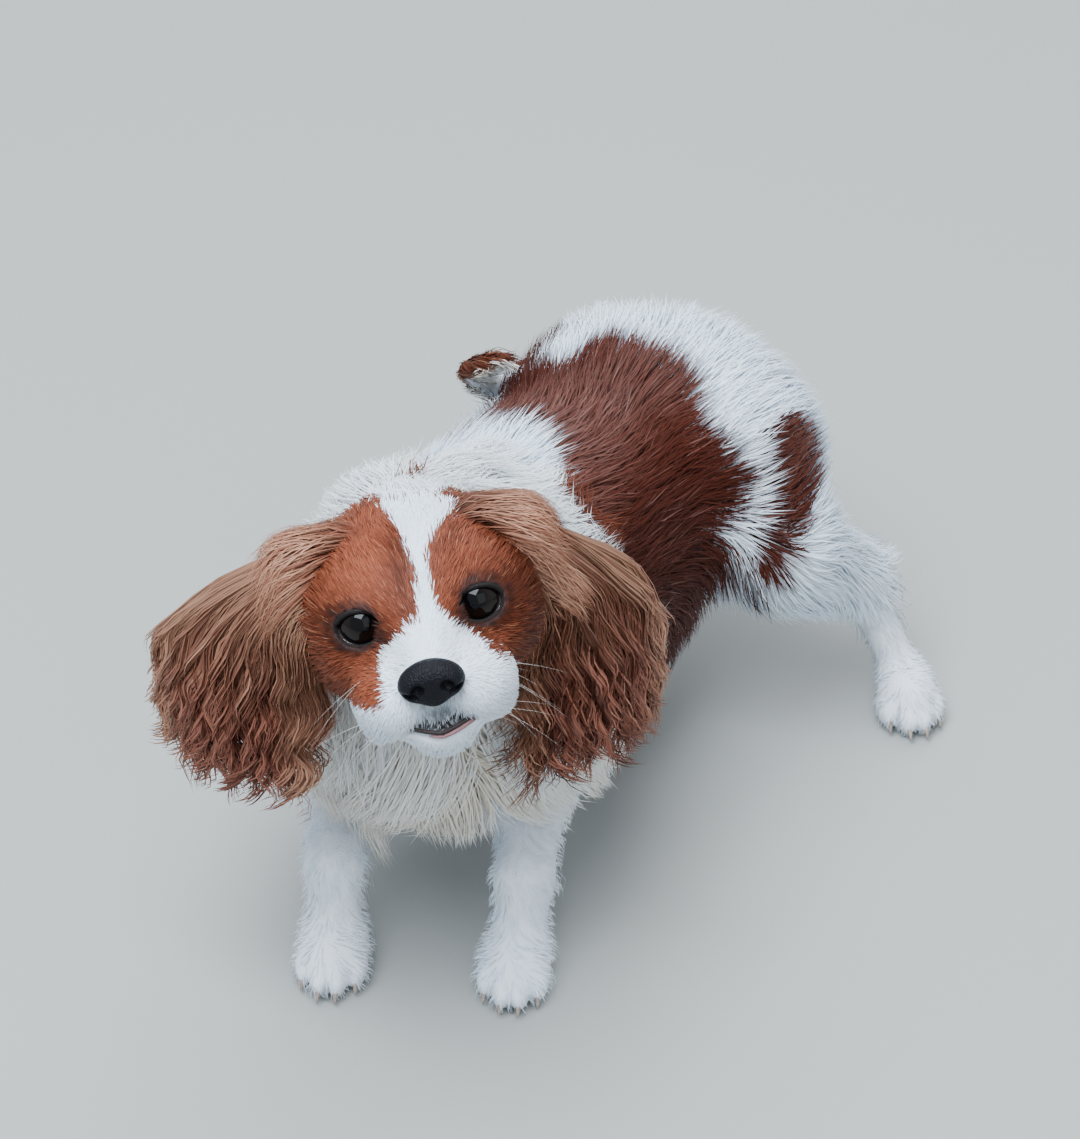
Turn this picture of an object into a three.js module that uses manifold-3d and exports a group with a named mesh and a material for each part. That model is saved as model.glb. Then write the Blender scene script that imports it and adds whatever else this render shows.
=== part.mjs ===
// A chestnut and white toy spaniel, life size, crouching on its four feet with its face turned up.
// Millimetres. Z is up, X is the dog's left and Y runs towards its tail.

import * as THREE from 'three'
import { mergeVertices } from 'three/addons/utils/BufferGeometryUtils.js'
import Module from 'manifold-3d'

const wasm = await Module()
wasm.setup()

const { degToRad, lerp, smoothstep } = THREE.MathUtils
const vec = (x, y, z) => new THREE.Vector3(x, y, z)
const xAxis = vec(1, 0, 0)
const yAxis = vec(0, 1, 0)
const zAxis = vec(0, 0, 1)
const turn = (axis, degrees) => new THREE.Quaternion().setFromAxisAngle(axis, degToRad(degrees))
const sides = { left: 1, right: -1 }

// Driving sizes
const gap = 0.3 // between parts that touch
const chestTurn = 29 // degrees that the chest is turned to the dog's left
const chestAt = vec(3, -92, 0) // floor point below the middle of the chest
const hipsAt = vec(0, 84, 0) // floor point below the hips
const headAt = vec(52, -178, 230.5) // middle of the skull at the height of the eyes
const headYaw = 39
const headPitch = 20
const headRoll = 10
const coat = { face: 2.5, body: 13, ruff: 26, leg: 5 } // depth of hair over the flesh
const coreShare = 0.5 // part of the depth of a long coat that is solid below its locks
const eye = { apart: 48, back: -35, up: 0, radius: 11, lid: 1.5, wide: 19.6, high: 15.6, outward: 9 }
const nose = { at: [0, -82, -16], wide: 27, deep: 15, high: 20 }
const ear = { root: [40, 0, 20], rootHalf: 20, half: 32, leather: 0.62, thick: 3.6 }
const earLength = { left: 134, right: 120 }
const earBulge = { left: 54, right: 58 } // how far each ear stands out below its root
const earHang = { rise: 4, fan: 38, cup: 5 } // how fast an ear stands out, turns forward and hollows
const earTuck = { left: 4, right: 9 } // degrees that each ear swings in towards its tip
const cell = { face: 6.9, nape: 12.5, torso: 22.5, neck: 21, leg: 10.8, thigh: 20 } // spacing of the faces
const weld = 0.05 // an edge shorter than this is drawn together
const settleReach = 5 // corners this near the true surface are moved onto it
const floorClear = 1.2 // lowest point of any hair
const tailRadius = { root: 17, tip: 4 }
const tailSplit = 0.002 // share of the tail between its two lengths

// Each frame turns forward, left and up into a place in the model.
const chestForward = vec(0, -1, 0).applyQuaternion(turn(zAxis, chestTurn))
const chestLeft = vec(1, 0, 0).applyQuaternion(turn(zAxis, chestTurn))
const headTurn = turn(zAxis, headYaw).multiply(turn(xAxis, -headPitch)).multiply(turn(yAxis, -headRoll))
const headTurnBack = headTurn.clone().invert()

function chest(forward, left, up) {
  return chestAt.clone().addScaledVector(chestForward, forward).addScaledVector(chestLeft, left).setZ(up)
}

function hips(forward, left, up) {
  return vec(hipsAt.x + left, hipsAt.y - forward, up)
}

function face(left, back, up) {
  return vec(left, back, up).applyQuaternion(headTurn).add(headAt)
}

// Distances from a point to simple forms, below zero inside them.

function limb(a, b, radiusA, radiusB) {
  const axis = b.clone().sub(a)
  const length2 = axis.lengthSq()
  const taper = radiusA - radiusB
  const slope2 = length2 - taper * taper
  return p => {
    const fromA = p.clone().sub(a)
    const y = fromA.dot(axis)
    const z = y - length2
    const x2 = fromA.multiplyScalar(length2).addScaledVector(axis, -y).lengthSq()
    const y2 = y * y * length2
    const z2 = z * z * length2
    const k = Math.sign(taper) * taper * taper * x2
    if (Math.sign(z) * slope2 * z2 > k) return Math.sqrt(x2 + z2) / length2 - radiusB
    if (Math.sign(y) * slope2 * y2 < k) return Math.sqrt(x2 + y2) / length2 - radiusA
    return (Math.sqrt(x2 * slope2 / length2) + y * taper) / length2 - radiusA
  }
}

function egg(centre, radii, turned = new THREE.Quaternion()) {
  const back = turned.clone().invert()
  return p => {
    const q = p.clone().sub(centre).applyQuaternion(back).divide(radii)
    const near = q.length()
    const slope = q.divide(radii).length()
    return near * (near - 1) / Math.max(slope, 1e-9)
  }
}

function soft(a, b, k) {
  const h = Math.max(k - Math.abs(a - b), 0) / k
  return Math.min(a, b) - h * h * k / 4
}

// Joins forms one after another, each with its own softness.
function joined(first, ...rest) {
  return p => rest.reduce((d, [form, k]) => soft(d, form(p), k), first(p))
}

const torsoForm = joined(
  limb(hips(-13, 0, 126), vec(0, 35, 130), 46, 43),
  [limb(vec(0, 35, 130), vec(2, -20, 136), 43, 47), 20],
  [limb(vec(2, -20, 136), vec(8, -92, 144), 47, 49), 20],
  [limb(hips(24, 0, 104), vec(0, 0, 96), 38, 44), 40],
  [limb(vec(0, 0, 96), vec(8, -82, 96), 44, 49), 40],
  [limb(vec(8, -82, 96), chest(42, 0, 112), 49, 36), 40],
)

const neckFrom = chest(5, 0, 158)
const neckTo = face(0, 30, -8)
const neckAxis = neckTo.clone().sub(neckFrom).normalize()
const neckForm = limb(neckFrom, neckTo, 42, 35)

function frontLegForm(side) {
  return joined(
    limb(chest(26, side * 34, 120), chest(6, side * 46, 80), 29, 20),
    [limb(chest(6, side * 46, 80), chest(68, side * 43, 44), 17, 12), 14],
    [limb(chest(68, side * 43, 44), chest(78, side * 42, 18), 12, 12), 8],
    [egg(chest(87, side * 41, 12), vec(16, 20, 13), turn(zAxis, chestTurn)), 8],
  )
}

const hindLegs = {
  left: { stifle: vec(75, 76, 99), hock: vec(93, 121, 58), foot: vec(116, 124, 18), toesTo: 46 },
  right: { stifle: vec(-74, 58, 92), hock: vec(-76, 118, 54), foot: vec(-84, 102, 17), toesTo: -18 },
}

function hindLegForm(side) {
  const { stifle, hock, foot, toesTo } = hindLegs[side]
  const toes = vec(0, -10, -4).applyQuaternion(turn(zAxis, toesTo)).add(foot)
  return joined(
    limb(hips(-6, sides[side] * 33, 128), stifle, 38, 19),
    [limb(stifle, hock, 19, 10), 18],
    [limb(hock, foot, 9.5, 8.5), 8],
    [egg(toes, vec(14, 20, 12), turn(zAxis, toesTo)), 8],
  )
}

const tailLine = [
  vec(0, 126, 138), vec(-25, 146, 129), vec(-56, 137, 125), vec(-79, 108, 124),
  vec(-91, 79, 128), vec(-94, 64, 141), vec(-83, 59, 152),
]


function pair(make, k) {
  return [[make(1), k], [make(-1), k]]
}

const skullForm = joined(
  egg(vec(0, 6, 2), vec(42, 50, 30)),
  [egg(vec(0, -22, 3), vec(35, 24, 22)), 20],
  ...pair(side => egg(vec(side * 29, -18, -14), vec(18, 24, 22)), 16),
  [limb(vec(0, -40, -10), vec(0, -70, -14), 17, 12), 14],
  ...pair(side => egg(vec(side * 17, -58, -26), vec(17, 23, 17)), 8),
  [egg(vec(0, -60, -41), vec(15, 18, 10.5)), 6],
  [limb(vec(0, -45, -36), vec(0, 0, -24), 12, 26), 14],
)
const headForm = p => skullForm(p.clone().sub(headAt).applyQuaternion(headTurnBack))

const frontLegs = { left: frontLegForm(1), right: frontLegForm(-1) }
const hindLegForms = { left: hindLegForm('left'), right: hindLegForm('right') }
const trunk = joined(
  torsoForm,
  [neckForm, 40],
  [frontLegs.left, 26],
  [frontLegs.right, 26],
  [hindLegForms.left, 26],
  [hindLegForms.right, 26],
)
const flesh = joined(trunk, [headForm, 22])

// Depth of the core of the coat at a point: deepest on the chest, short on the feet and behind the jaw.
function coreDepth(p) {
  const forward = p.clone().sub(chestAt).dot(chestForward)
  const upNeck = p.clone().sub(neckFrom).dot(neckAxis)
  const ruff = smoothstep(forward, 5, 45) * smoothstep(p.z, 62, 95)
  const body = lerp(lerp(coat.body, coat.ruff, ruff), coat.face, smoothstep(upNeck, 30, 78))
  return lerp(coat.leg, body * coreShare, smoothstep(p.z, 48, 88))
}

// The solid core under the locks.
const core = p => soft(trunk(p) - coreDepth(p), headForm(p) - coat.face, 12)

// Grid lines from low to high, their spacing given at each place.
function lines(low, high, spacing) {
  const found = []
  for (let at = low; at < high; at += spacing(at)) found.push(at)
  return [...found, high]
}

// Finds the surface of a form on a grid: one corner in each cell that it crosses, settled onto it.
function surface(form, gridX, gridY, gridZ, frame = vec) {
  const grid = [gridX, gridY, gridZ]
  const count = grid.map(lines => lines.length)
  const index = (i, j, k) => (i * count[1] + j) * count[2] + k
  const isEdge = (i, j, k) => [i, j, k].some((n, a) => n === 0 || n === count[a] - 1)
  const value = new Float64Array(count[0] * count[1] * count[2])
  const places = []
  for (let i = 0; i < count[0]; i++) {
    for (let j = 0; j < count[1]; j++) {
      for (let k = 0; k < count[2]; k++) {
        const place = frame(gridX[i], gridY[j], gridZ[k])
        places.push(place)
        value[index(i, j, k)] = isEdge(i, j, k) ? Math.max(form(place), 1) : form(place)
      }
    }
  }
  const steps = [[1, 0, 0], [0, 1, 0], [0, 0, 1]]
  const corners = [0, 1, 2, 3, 4, 5, 6, 7].map(n => [n >> 2 & 1, n >> 1 & 1, n & 1])
  const edges = corners.flatMap(c => steps.filter((s, a) => !c[a]).map(s => [c, c.map((x, a) => x + s[a])]))
  const cornerOf = new Map()
  const points = []
  for (let i = 0; i < count[0] - 1; i++) {
    for (let j = 0; j < count[1] - 1; j++) {
      for (let k = 0; k < count[2] - 1; k++) {
        const sum = vec(0, 0, 0)
        let crossings = 0
        for (const [c, d] of edges) {
          const from = index(i + c[0], j + c[1], k + c[2])
          const to = index(i + d[0], j + d[1], k + d[2])
          if (value[from] < 0 === value[to] < 0) continue
          const along = value[from] / (value[from] - value[to])
          sum.add(places[from].clone().lerp(places[to], along))
          crossings += 1
        }
        if (!crossings) continue
        cornerOf.set(index(i, j, k), points.length)
        points.push(settled(form, sum.divideScalar(crossings)))
      }
    }
  }
  const quads = []
  for (const [a, step] of steps.entries()) {
    const [u, w] = [steps[(a + 1) % 3], steps[(a + 2) % 3]]
    for (let i = 1 - step[0]; i < count[0] - 1; i++) {
      for (let j = 1 - step[1]; j < count[1] - 1; j++) {
        for (let k = 1 - step[2]; k < count[2] - 1; k++) {
          const inside = value[index(i, j, k)] < 0
          if (inside === value[index(i + step[0], j + step[1], k + step[2])] < 0) continue
          const at = (du, dw) => cornerOf.get(
            index(i - du * u[0] - dw * w[0], j - du * u[1] - dw * w[1], k - du * u[2] - dw * w[2]))
          const quad = [at(1, 1), at(0, 1), at(0, 0), at(1, 0)]
          quads.push(inside ? quad : quad.reverse())
        }
      }
    }
  }
  const faces = quads.flatMap(([a, b, c, d]) => {
    const acrossAC = points[a].distanceTo(points[c]) < points[b].distanceTo(points[d])
    return acrossAC ? [[a, b, c], [a, c, d]] : [[a, b, d], [b, c, d]]
  })
  return { points, faces }
}

// Moves a point that is near the surface of a form onto it.
function settled(form, p) {
  for (let round = 0; round < 2; round++) {
    const off = form(p)
    if (Math.abs(off) < settleReach) p.addScaledVector(slopeOf(form, p), -off * 0.9)
  }
  return p
}

// Direction in which the distance to a form grows fastest.
function slopeOf(form, p) {
  const step = 0.5
  const at = (axis, shift) => form(p.clone().addScaledVector(axis, shift))
  const across = axis => at(axis, step) - at(axis, -step)
  return vec(across(xAxis), across(yAxis), across(zAxis)).normalize()
}

// The same skin moved out by a small amount, to cut a neighbour clear of it.
function grown({ points, faces }, amount) {
  const normals = points.map(() => vec(0, 0, 0))
  for (const [a, b, c] of faces) {
    const normal = points[b].clone().sub(points[a]).cross(points[c].clone().sub(points[a]))
    for (const corner of [a, b, c]) normals[corner].add(normal)
  }
  return { points: points.map((p, i) => p.clone().addScaledVector(normals[i].normalize(), amount)), faces }
}

// Closes rings of points into a skin, the ends fanned from their middles.
function loft(rings) {
  const size = rings[0].length
  const points = rings.flat()
  const faces = []
  for (let r = 0; r + 1 < rings.length; r++) {
    for (let i = 0; i < size; i++) {
      const [a, b] = [r * size + i, r * size + (i + 1) % size]
      faces.push([a, b, b + size], [a, b + size, a + size])
    }
  }
  for (const [ring, last] of [[0, false], [rings.length - 1, true]]) {
    const middle = points.length
    points.push(rings[ring].reduce((sum, p) => sum.add(p), vec(0, 0, 0)).divideScalar(size))
    for (let i = 0; i < size; i++) {
      const [a, b] = [ring * size + i, ring * size + (i + 1) % size]
      faces.push(last ? [a, b, middle] : [b, a, middle])
    }
  }
  return outward({ points, faces })
}

// Turns the faces of a closed skin outward.
function outward({ points, faces }) {
  const volume = faces.reduce((sum, [a, b, c]) => sum + points[a].dot(points[b].clone().cross(points[c])), 0)
  return { points, faces: volume < 0 ? faces.map(([a, b, c]) => [a, c, b]) : faces }
}

function solid({ points, faces }) {
  const vertProperties = new Float32Array(points.flatMap(p => p.toArray()))
  const triVerts = new Uint32Array(faces.flat())
  return new wasm.Manifold(new wasm.Mesh({ numProp: 3, vertProperties, triVerts }))
}

// A three.js geometry, placed, as a solid.
function solidOf(geometry, at = vec(0, 0, 0), turned = new THREE.Quaternion(), scale = vec(1, 1, 1)) {
  const bare = geometry.clone()
  bare.deleteAttribute('normal')
  bare.deleteAttribute('uv')
  const placed = mergeVertices(bare.applyMatrix4(new THREE.Matrix4().compose(at, turned, scale)), 1e-4)
  const position = placed.getAttribute('position')
  const points = []
  for (let i = 0; i < position.count; i++) points.push(vec(0, 0, 0).fromBufferAttribute(position, i))
  const faces = []
  for (let i = 0; i < placed.index.count; i += 3) {
    faces.push([placed.index.getX(i), placed.index.getX(i + 1), placed.index.getX(i + 2)])
  }
  return solid({ points, faces })
}

function largest(shape) {
  return shape.decompose().reduce((best, piece) => piece.volume() > best.volume() ? piece : best)
}

function geometryOf(shape) {
  const mesh = shape.getMesh()
  const points = []
  for (let i = 0; i < mesh.vertProperties.length; i += 3) {
    points.push(vec(...mesh.vertProperties.slice(i, i + 3)))
  }
  const faces = []
  for (let i = 0; i < mesh.triVerts.length; i += 3) faces.push([...mesh.triVerts.slice(i, i + 3)])
  const tidy = tidied(points, faces)
  const geometry = new THREE.BufferGeometry()
  const position = new Float32Array(tidy.points.flatMap(p => p.toArray()))
  geometry.setAttribute('position', new THREE.BufferAttribute(position, 3))
  geometry.setIndex(tidy.faces.flat())
  return geometry
}

// Cuts leave very short edges: their ends are drawn together, and corners that only touch are parted.
function tidied(points, faces) {
  const around = points.map(() => new Set())
  faces.forEach((face, n) => face.forEach(corner => around[corner].add(n)))
  const near = corner => new Set([...around[corner]].flatMap(n => faces[n]))
  const drawTogether = (a, b) => {
    const common = [...near(a)].filter(corner => near(b).has(corner))
    if (common.length !== 4) return
    points[a].lerp(points[b], 0.5)
    for (const n of [...around[b]]) {
      if (faces[n].includes(a)) {
        faces[n].forEach(corner => around[corner].delete(n))
        faces[n] = null
      } else {
        faces[n] = faces[n].map(corner => corner === b ? a : corner)
        around[a].add(n)
      }
    }
    around[b].clear()
  }
  for (let n = 0; n < faces.length; n++) {
    for (let i = 0; faces[n] && i < 3; i++) {
      const [a, b] = [faces[n][i], faces[n][(i + 1) % 3]]
      if (points[a].distanceTo(points[b]) < weld) drawTogether(a, b)
    }
  }
  const taken = new Set()
  for (const [corner, p] of points.entries()) {
    const cellOf = () => p.toArray().map(x => Math.round(x / weld * 5)).join()
    const inward = [...near(corner)].reduce((sum, other) => sum.add(points[other]), vec(0, 0, 0))
    inward.divideScalar(near(corner).size).sub(p).normalize()
    while (around[corner].size && taken.has(cellOf())) p.addScaledVector(inward, weld / 4)
    taken.add(cellOf())
  }
  return { points, faces: faces.filter(Boolean) }
}

// Turns the z axis to a direction, keeping x level.
function frameAlong(direction) {
  const across = zAxis.clone().cross(direction).normalize()
  const up = direction.clone().cross(across)
  return new THREE.Quaternion().setFromRotationMatrix(new THREE.Matrix4().makeBasis(across, up, direction))
}

// Where the body is parted: boxes, each with its middle, turn and size.
const neckTilt = vec(0.2, -0.45, 0.87).normalize()
const regions = {
  head: { at: face(0, -26, 3), turned: headTurn, size: [160, 150, 114] },
  neck: {
    at: vec(8, -105, 166).addScaledVector(neckTilt, 150),
    turned: frameAlong(neckTilt),
    size: [300, 400, 300],
  },
}
for (const [name, side] of Object.entries(sides)) {
  const outward = vec(side * 0.8, 0, -0.6)
  regions['leg_front_' + name] = {
    at: chest(53, side * 76, 32),
    turned: turn(zAxis, chestTurn),
    size: [100, 130, 100],
  }
  regions['leg_hind_' + name] = {
    at: vec(side * 34, 108, 118).addScaledVector(outward, 150),
    turned: frameAlong(outward),
    size: [124, 110, 300],
  }
}

function regionSolid(name, margin) {
  const { at, turned, size } = regions[name]
  return solidOf(new THREE.BoxGeometry(...size.map(length => length + 2 * margin)), at, turned)
}

// The part that a point of the trunk belongs to.
function ownerOf(p) {
  const holds = ({ at, turned, size }) => {
    const q = p.clone().sub(at).applyQuaternion(turned.clone().invert())
    return q.toArray().every((x, a) => Math.abs(x) < size[a] / 2)
  }
  return Object.keys(regions).find(name => holds(regions[name])) ?? 'torso'
}

const floorBlock = solidOf(new THREE.BoxGeometry(900, 900, 60), vec(0, 0, -30))

// Even grid lines through a box.
function evenGrid(low, high, size) {
  return [0, 1, 2].map(a => lines(low[a], high[a], () => size))
}

// Flesh of one part with its coat, cut to its region, and the room that its neighbours leave it.
function bodyPart(name, grid, cutBy, frame) {
  const skin = surface(core, ...grid, frame)
  const within = (shape, margin) => {
    const own = regions[name] ? shape.intersect(regionSolid(name, margin)) : shape
    return cutBy.reduce((left, other) => left.subtract(regionSolid(other, gap - margin)), own)
  }
  return { shape: within(solid(skin), 0), room: within(solid(grown(skin, gap)), gap * 0.9) }
}

function eyePlace(side) {
  return face(side * eye.apart / 2, eye.back, eye.up)
}

function eyeTurn(side) {
  return headTurn.clone().multiply(turn(zAxis, side * eye.outward))
}

function eyeBall(side, extra, segments) {
  return solidOf(new THREE.SphereGeometry(eye.radius + extra, segments, segments - 4), eyePlace(side))
}

// A lid ring over the ball, with the almond between upper and lower lid left open.
function lids(side) {
  const almond = new THREE.Shape()
  almond.absellipse(0, 0, eye.wide / 2, eye.high / 2, 0, Math.PI * 2)
  const opening = new THREE.ExtrudeGeometry(almond, { depth: 40, bevelEnabled: false, curveSegments: 6 })
  opening.rotateX(Math.PI / 2)
  return { shell: eyeBall(side, eye.lid, 12), opening: solidOf(opening, eyePlace(side), eyeTurn(side)) }
}

function noseSolid(extra) {
  const pad = new THREE.SphereGeometry(1, 12, 8)
  const position = pad.getAttribute('position')
  for (let i = 0; i < position.count; i++) {
    const narrow = 1 - 0.4 * Math.max(-position.getZ(i), 0)
    position.setX(i, position.getX(i) * narrow)
  }
  const scale = vec(nose.wide / 2 + extra, nose.deep / 2 + extra, nose.high / 2 + extra)
  return solidOf(pad, face(...nose.at), headTurn, scale)
}

function nostril(side) {
  const hole = new THREE.SphereGeometry(1, 7, 5)
  const place = face(side * 6.5, nose.at[1] - 6.5, nose.at[2] - 1)
  return solidOf(hole, place, headTurn.clone().multiply(turn(yAxis, side * 35)), vec(3.2, 4, 1.9))
}

// The line between the lips, a thin cut that follows the muzzle from corner to corner.
function mouthCut() {
  const rings = []
  const steps = 8
  for (let i = 0; i <= steps; i++) {
    const across = lerp(-1, 1, i / steps)
    const back = -79 + 34 * Math.abs(across) ** 2
    const up = -39.5 + 6 * Math.abs(across)
    const thin = lerp(0.9, 0.3, Math.abs(across))
    rings.push([[-6, 0], [3, -thin], [9, 0], [3, thin]].map(([inward, high]) =>
      face(across * (30 - inward * 0.35 * Math.abs(across)), back + inward, up + high)))
  }
  return solid(loft(rings))
}

function buildHead() {
  const fine = at => lerp(cell.face, cell.nape, smoothstep(at, -35, 30))
  const sideways = at => lerp(cell.face, cell.nape, smoothstep(Math.abs(at), 30, 62))
  const grid = [lines(-71, 72, sideways), lines(-102, 56, fine), lines(-72, 48, () => cell.face)]
  const { shape, room } = bodyPart('head', grid, [], face)
  let made = shape
  for (const side of [1, -1]) {
    const { shell, opening } = lids(side)
    made = made.add(shell).subtract(opening)
  }
  return { shape: made.subtract(mouthCut()), room }
}

// A point of the ear: down runs from its root to its tip, across from its front edge to its back.
function earPoint(name, down, across, out) {
  const outward = vec(sides[name], 0, 0).applyQuaternion(turn(zAxis, headYaw))
  const forward = vec(0, -1, 0).applyQuaternion(turn(zAxis, headYaw))
  const fan = degToRad(lerp(90, earHang.fan, smoothstep(down, 0, 0.45)))
  const width = outward.clone().multiplyScalar(Math.cos(fan)).addScaledVector(forward, -Math.sin(fan))
  const outer = outward.clone().multiplyScalar(Math.sin(fan)).addScaledVector(forward, Math.cos(fan))
  const rise = earBulge[name] * (1 - Math.max(1 - down, 0) ** earHang.rise)
  const tuck = Math.sin(degToRad(earTuck[name])) * earLength[name] * down
  return face(sides[name] * ear.root[0], ear.root[1], ear.root[2])
    .addScaledVector(outward, rise - tuck - 6)
    .addScaledVector(zAxis, -earLength[name] * down)
    .addScaledVector(width, across * earHalf(down))
    .addScaledVector(outer, out - earHang.cup * across * across)
}

function earHalf(down) {
  return lerp(ear.rootHalf, ear.half, smoothstep(down, 0, 0.45))
}

// The leather of the ear, hollowed on its inner side.
function earLeather(name) {
  const rings = []
  const steps = 6
  for (let i = 0; i <= steps; i++) {
    const end = i / steps
    const narrow = Math.sqrt(1.02 - Math.max(end - 0.45, 0) ** 2 / 0.33)
    const ring = []
    for (let n = 0; n < 8; n++) {
      const angle = Math.PI * 2 * n / 8
      const thick = Math.sin(angle) * ear.thick * lerp(0.8, 1, narrow)
      ring.push(earPoint(name, end * ear.leather, Math.cos(angle) * narrow, thick))
    }
    rings.push(ring)
  }
  return loft(rings)
}

// Draws from a fixed seed, so that every lock falls the same way each time.
function drawsFrom(seed) {
  let state = seed
  return () => {
    state = (state * 1664525 + 1013904223) >>> 0
    return state / 2 ** 32
  }
}

const draw = drawsFrom(28)
const vary = share => 1 + share * (2 * draw() - 1)
const between = (low, high) => lerp(low, high, draw())

// A flat, tapered lock along a line: flat below, with a ridge on top, and the room that it takes.
function lockAlong(line, ups, half, thick) {
  const last = line.length - 1
  const skin = extra => {
    const points = []
    const faces = []
    for (let i = 0; i < last; i++) {
      const heading = line[i + 1].clone().sub(line[Math.max(i - 1, 0)]).normalize()
      const across = heading.clone().cross(ups[i]).normalize()
      const top = across.clone().cross(heading)
      const taper = Math.min(1, 0.7 + i * 0.4, 0.3 + 1.6 * (1 - i / last))
      const wide = half * (taper + 2.2 * extra / thick)
      const corner = (x, y) => line[i].clone().addScaledVector(across, x).addScaledVector(top, y)
      points.push(corner(-wide, -extra), corner(0, thick * taper + extra * 1.5), corner(wide, -extra))
      const [a, b, c] = [i * 3, i * 3 + 1, i * 3 + 2]
      const [d, e, f] = i + 1 < last ? [a + 3, b + 3, c + 3] : [last * 3, last * 3, last * 3]
      for (const [u, v, w, x] of [[a, b, e, d], [b, c, f, e], [c, a, d, f]]) {
        faces.push([u, v, w])
        if (i + 1 < last) faces.push([u, w, x])
      }
    }
    faces.push([0, 2, 1])
    const lastHeading = line[last].clone().sub(line[last - 1]).normalize()
    points.push(line[last].clone().addScaledVector(lastHeading, extra * 8))
    return outward({ points, faces })
  }
  return { shape: solid(skin(0)), room: solid(skin(gap)) }
}

// Walks a lock out of the core at a root, leaning into the lie of the coat and clear of every core.
function coatLock(root, { lie, length, half, thick, rise, steps = 5, sway = 0.25 }) {
  const out = slopeOf(core, root)
  const sunk = thick + 4
  const stride = (length + sunk) / steps
  const p = root.clone().addScaledVector(out, -sunk)
  const heading = out.clone().lerp(lie(root), 0.3).normalize()
  const drift = between(-sway, sway)
  const line = []
  const ups = []
  for (let i = 0; i <= steps; i++) {
    const up = i ? slopeOf(core, p).add(ups[i - 1]).normalize() : out
    line.push(p.clone())
    ups.push(up)
    const side = heading.clone().cross(up)
    const way = lie(p).addScaledVector(side, drift * Math.cos(i * 1.7)).normalize()
    heading.lerp(way, 0.55).normalize()
    p.addScaledVector(heading, stride)
    const want = rise * Math.min(1, 0.45 + 0.5 * i / steps)
    const off = core(p)
    if (off < want) p.addScaledVector(slopeOf(core, p), want - off)
    p.setZ(Math.max(p.z, floorClear + thick * 0.5))
  }
  return lockAlong(line, ups, half, thick)
}

// Where a line from inside the body leaves its core.
function leaving(from, direction) {
  const p = from.clone()
  const way = direction.clone().normalize()
  for (let round = 0; round < 24; round++) p.addScaledVector(way, Math.max(-core(p), 0))
  return p
}

const down = vec(0, 0, -1)
const back = vec(0, 1, 0)

// The coat of the trunk streams to the tail, and sinks down the flanks and the rump.
function trunkLie(p) {
  const low = Math.max(smoothstep(150 - p.z, 0, 60), smoothstep(p.y, 70, 135))
  return back.clone().lerp(vec(0, 0.35, -0.95), low).addScaledVector(down, 0.1).normalize()
}

function ruffLie() {
  return down.clone().addScaledVector(neckAxis, -0.55).normalize()
}

function legLie() {
  return down.clone().addScaledVector(back, 0.5).normalize()
}

// Every lock of the trunk, as the part that it grows from and its shape.
const coatLocks = {}

function growLock(root, recipe) {
  const owner = ownerOf(root)
  if (owner === 'head' || core(root) > 1 || root.z < 6) return
  coatLocks[owner] ??= []
  coatLocks[owner].push(coatLock(root, recipe))
}

function growTrunk() {
  for (let row = 0; row < 5; row++) {
    const y = lerp(104, -60, row / 4)
    const middle = vec(lerp(0, 8, row / 4), y, lerp(122, 138, row / 4))
    for (let n = 0; n < 7; n++) {
      const angle = degToRad(lerp(-122, 122, (n + 0.5 * (row % 2)) / 6.5) + between(-4, 4))
      const root = leaving(middle, vec(Math.sin(angle), between(-0.06, 0.06), Math.cos(angle)))
      const low = smoothstep(140 - root.z, 0, 60)
      growLock(root, {
        lie: trunkLie,
        length: lerp(58, 66, low) * vary(0.12),
        half: 18 * vary(0.1),
        thick: 3.2,
        rise: coat.body * (1 - coreShare) - 1.6,
        steps: 4,
      })
    }
  }
}

function growRuff() {
  for (let row = 0; row < 3; row++) {
    const from = neckFrom.clone().addScaledVector(neckAxis, lerp(46, 4, row / 2))
    const sideways = neckAxis.clone().cross(zAxis).normalize()
    const above = sideways.clone().cross(neckAxis)
    for (let n = 0; n < 8; n++) {
      const angle = Math.PI * 2 * (n + 0.5 * (row % 2)) / 8
      const way = sideways.clone().multiplyScalar(Math.cos(angle)).addScaledVector(above, Math.sin(angle))
      growLock(leaving(from, way), {
        lie: ruffLie,
        length: lerp(50, 62, row / 2) * vary(0.15),
        half: 14 * vary(0.15),
        thick: 4,
        rise: lerp(8, 4, Math.max(Math.sin(angle), 0)),
        steps: 4,
        sway: 0.5,
      })
    }
  }
}

function growChest() {
  for (let row = 0; row < 3; row++) {
    const middle = chest(22, 0, lerp(150, 92, row / 2))
    for (let n = 0; n < 5; n++) {
      const angle = lerp(-78, 78, (n + 0.5 * (row % 2)) / 4.5)
      const way = chestForward.clone().applyQuaternion(turn(zAxis, angle))
      growLock(leaving(middle, way), {
        lie: ruffLie,
        length: lerp(62, 44, row / 2) * vary(0.15),
        half: 12.5 * vary(0.15),
        thick: 4.2,
        rise: lerp(10, 4, row / 2),
        steps: 4,
        sway: 0.6,
      })
    }
  }
}

function growFringe() {
  for (const side of [1, -1]) {
    for (let n = 0; n < 4; n++) {
      const root = leaving(vec(4, lerp(58, -40, n / 3), 100), vec(side * 0.75, 0, -1))
      growLock(root, {
        lie: () => down.clone().addScaledVector(back, 0.35).normalize(),
        length: 38 * vary(0.15),
        half: 14,
        thick: 3.2,
        rise: 3,
        steps: 3,
      })
    }
  }
}

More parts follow.
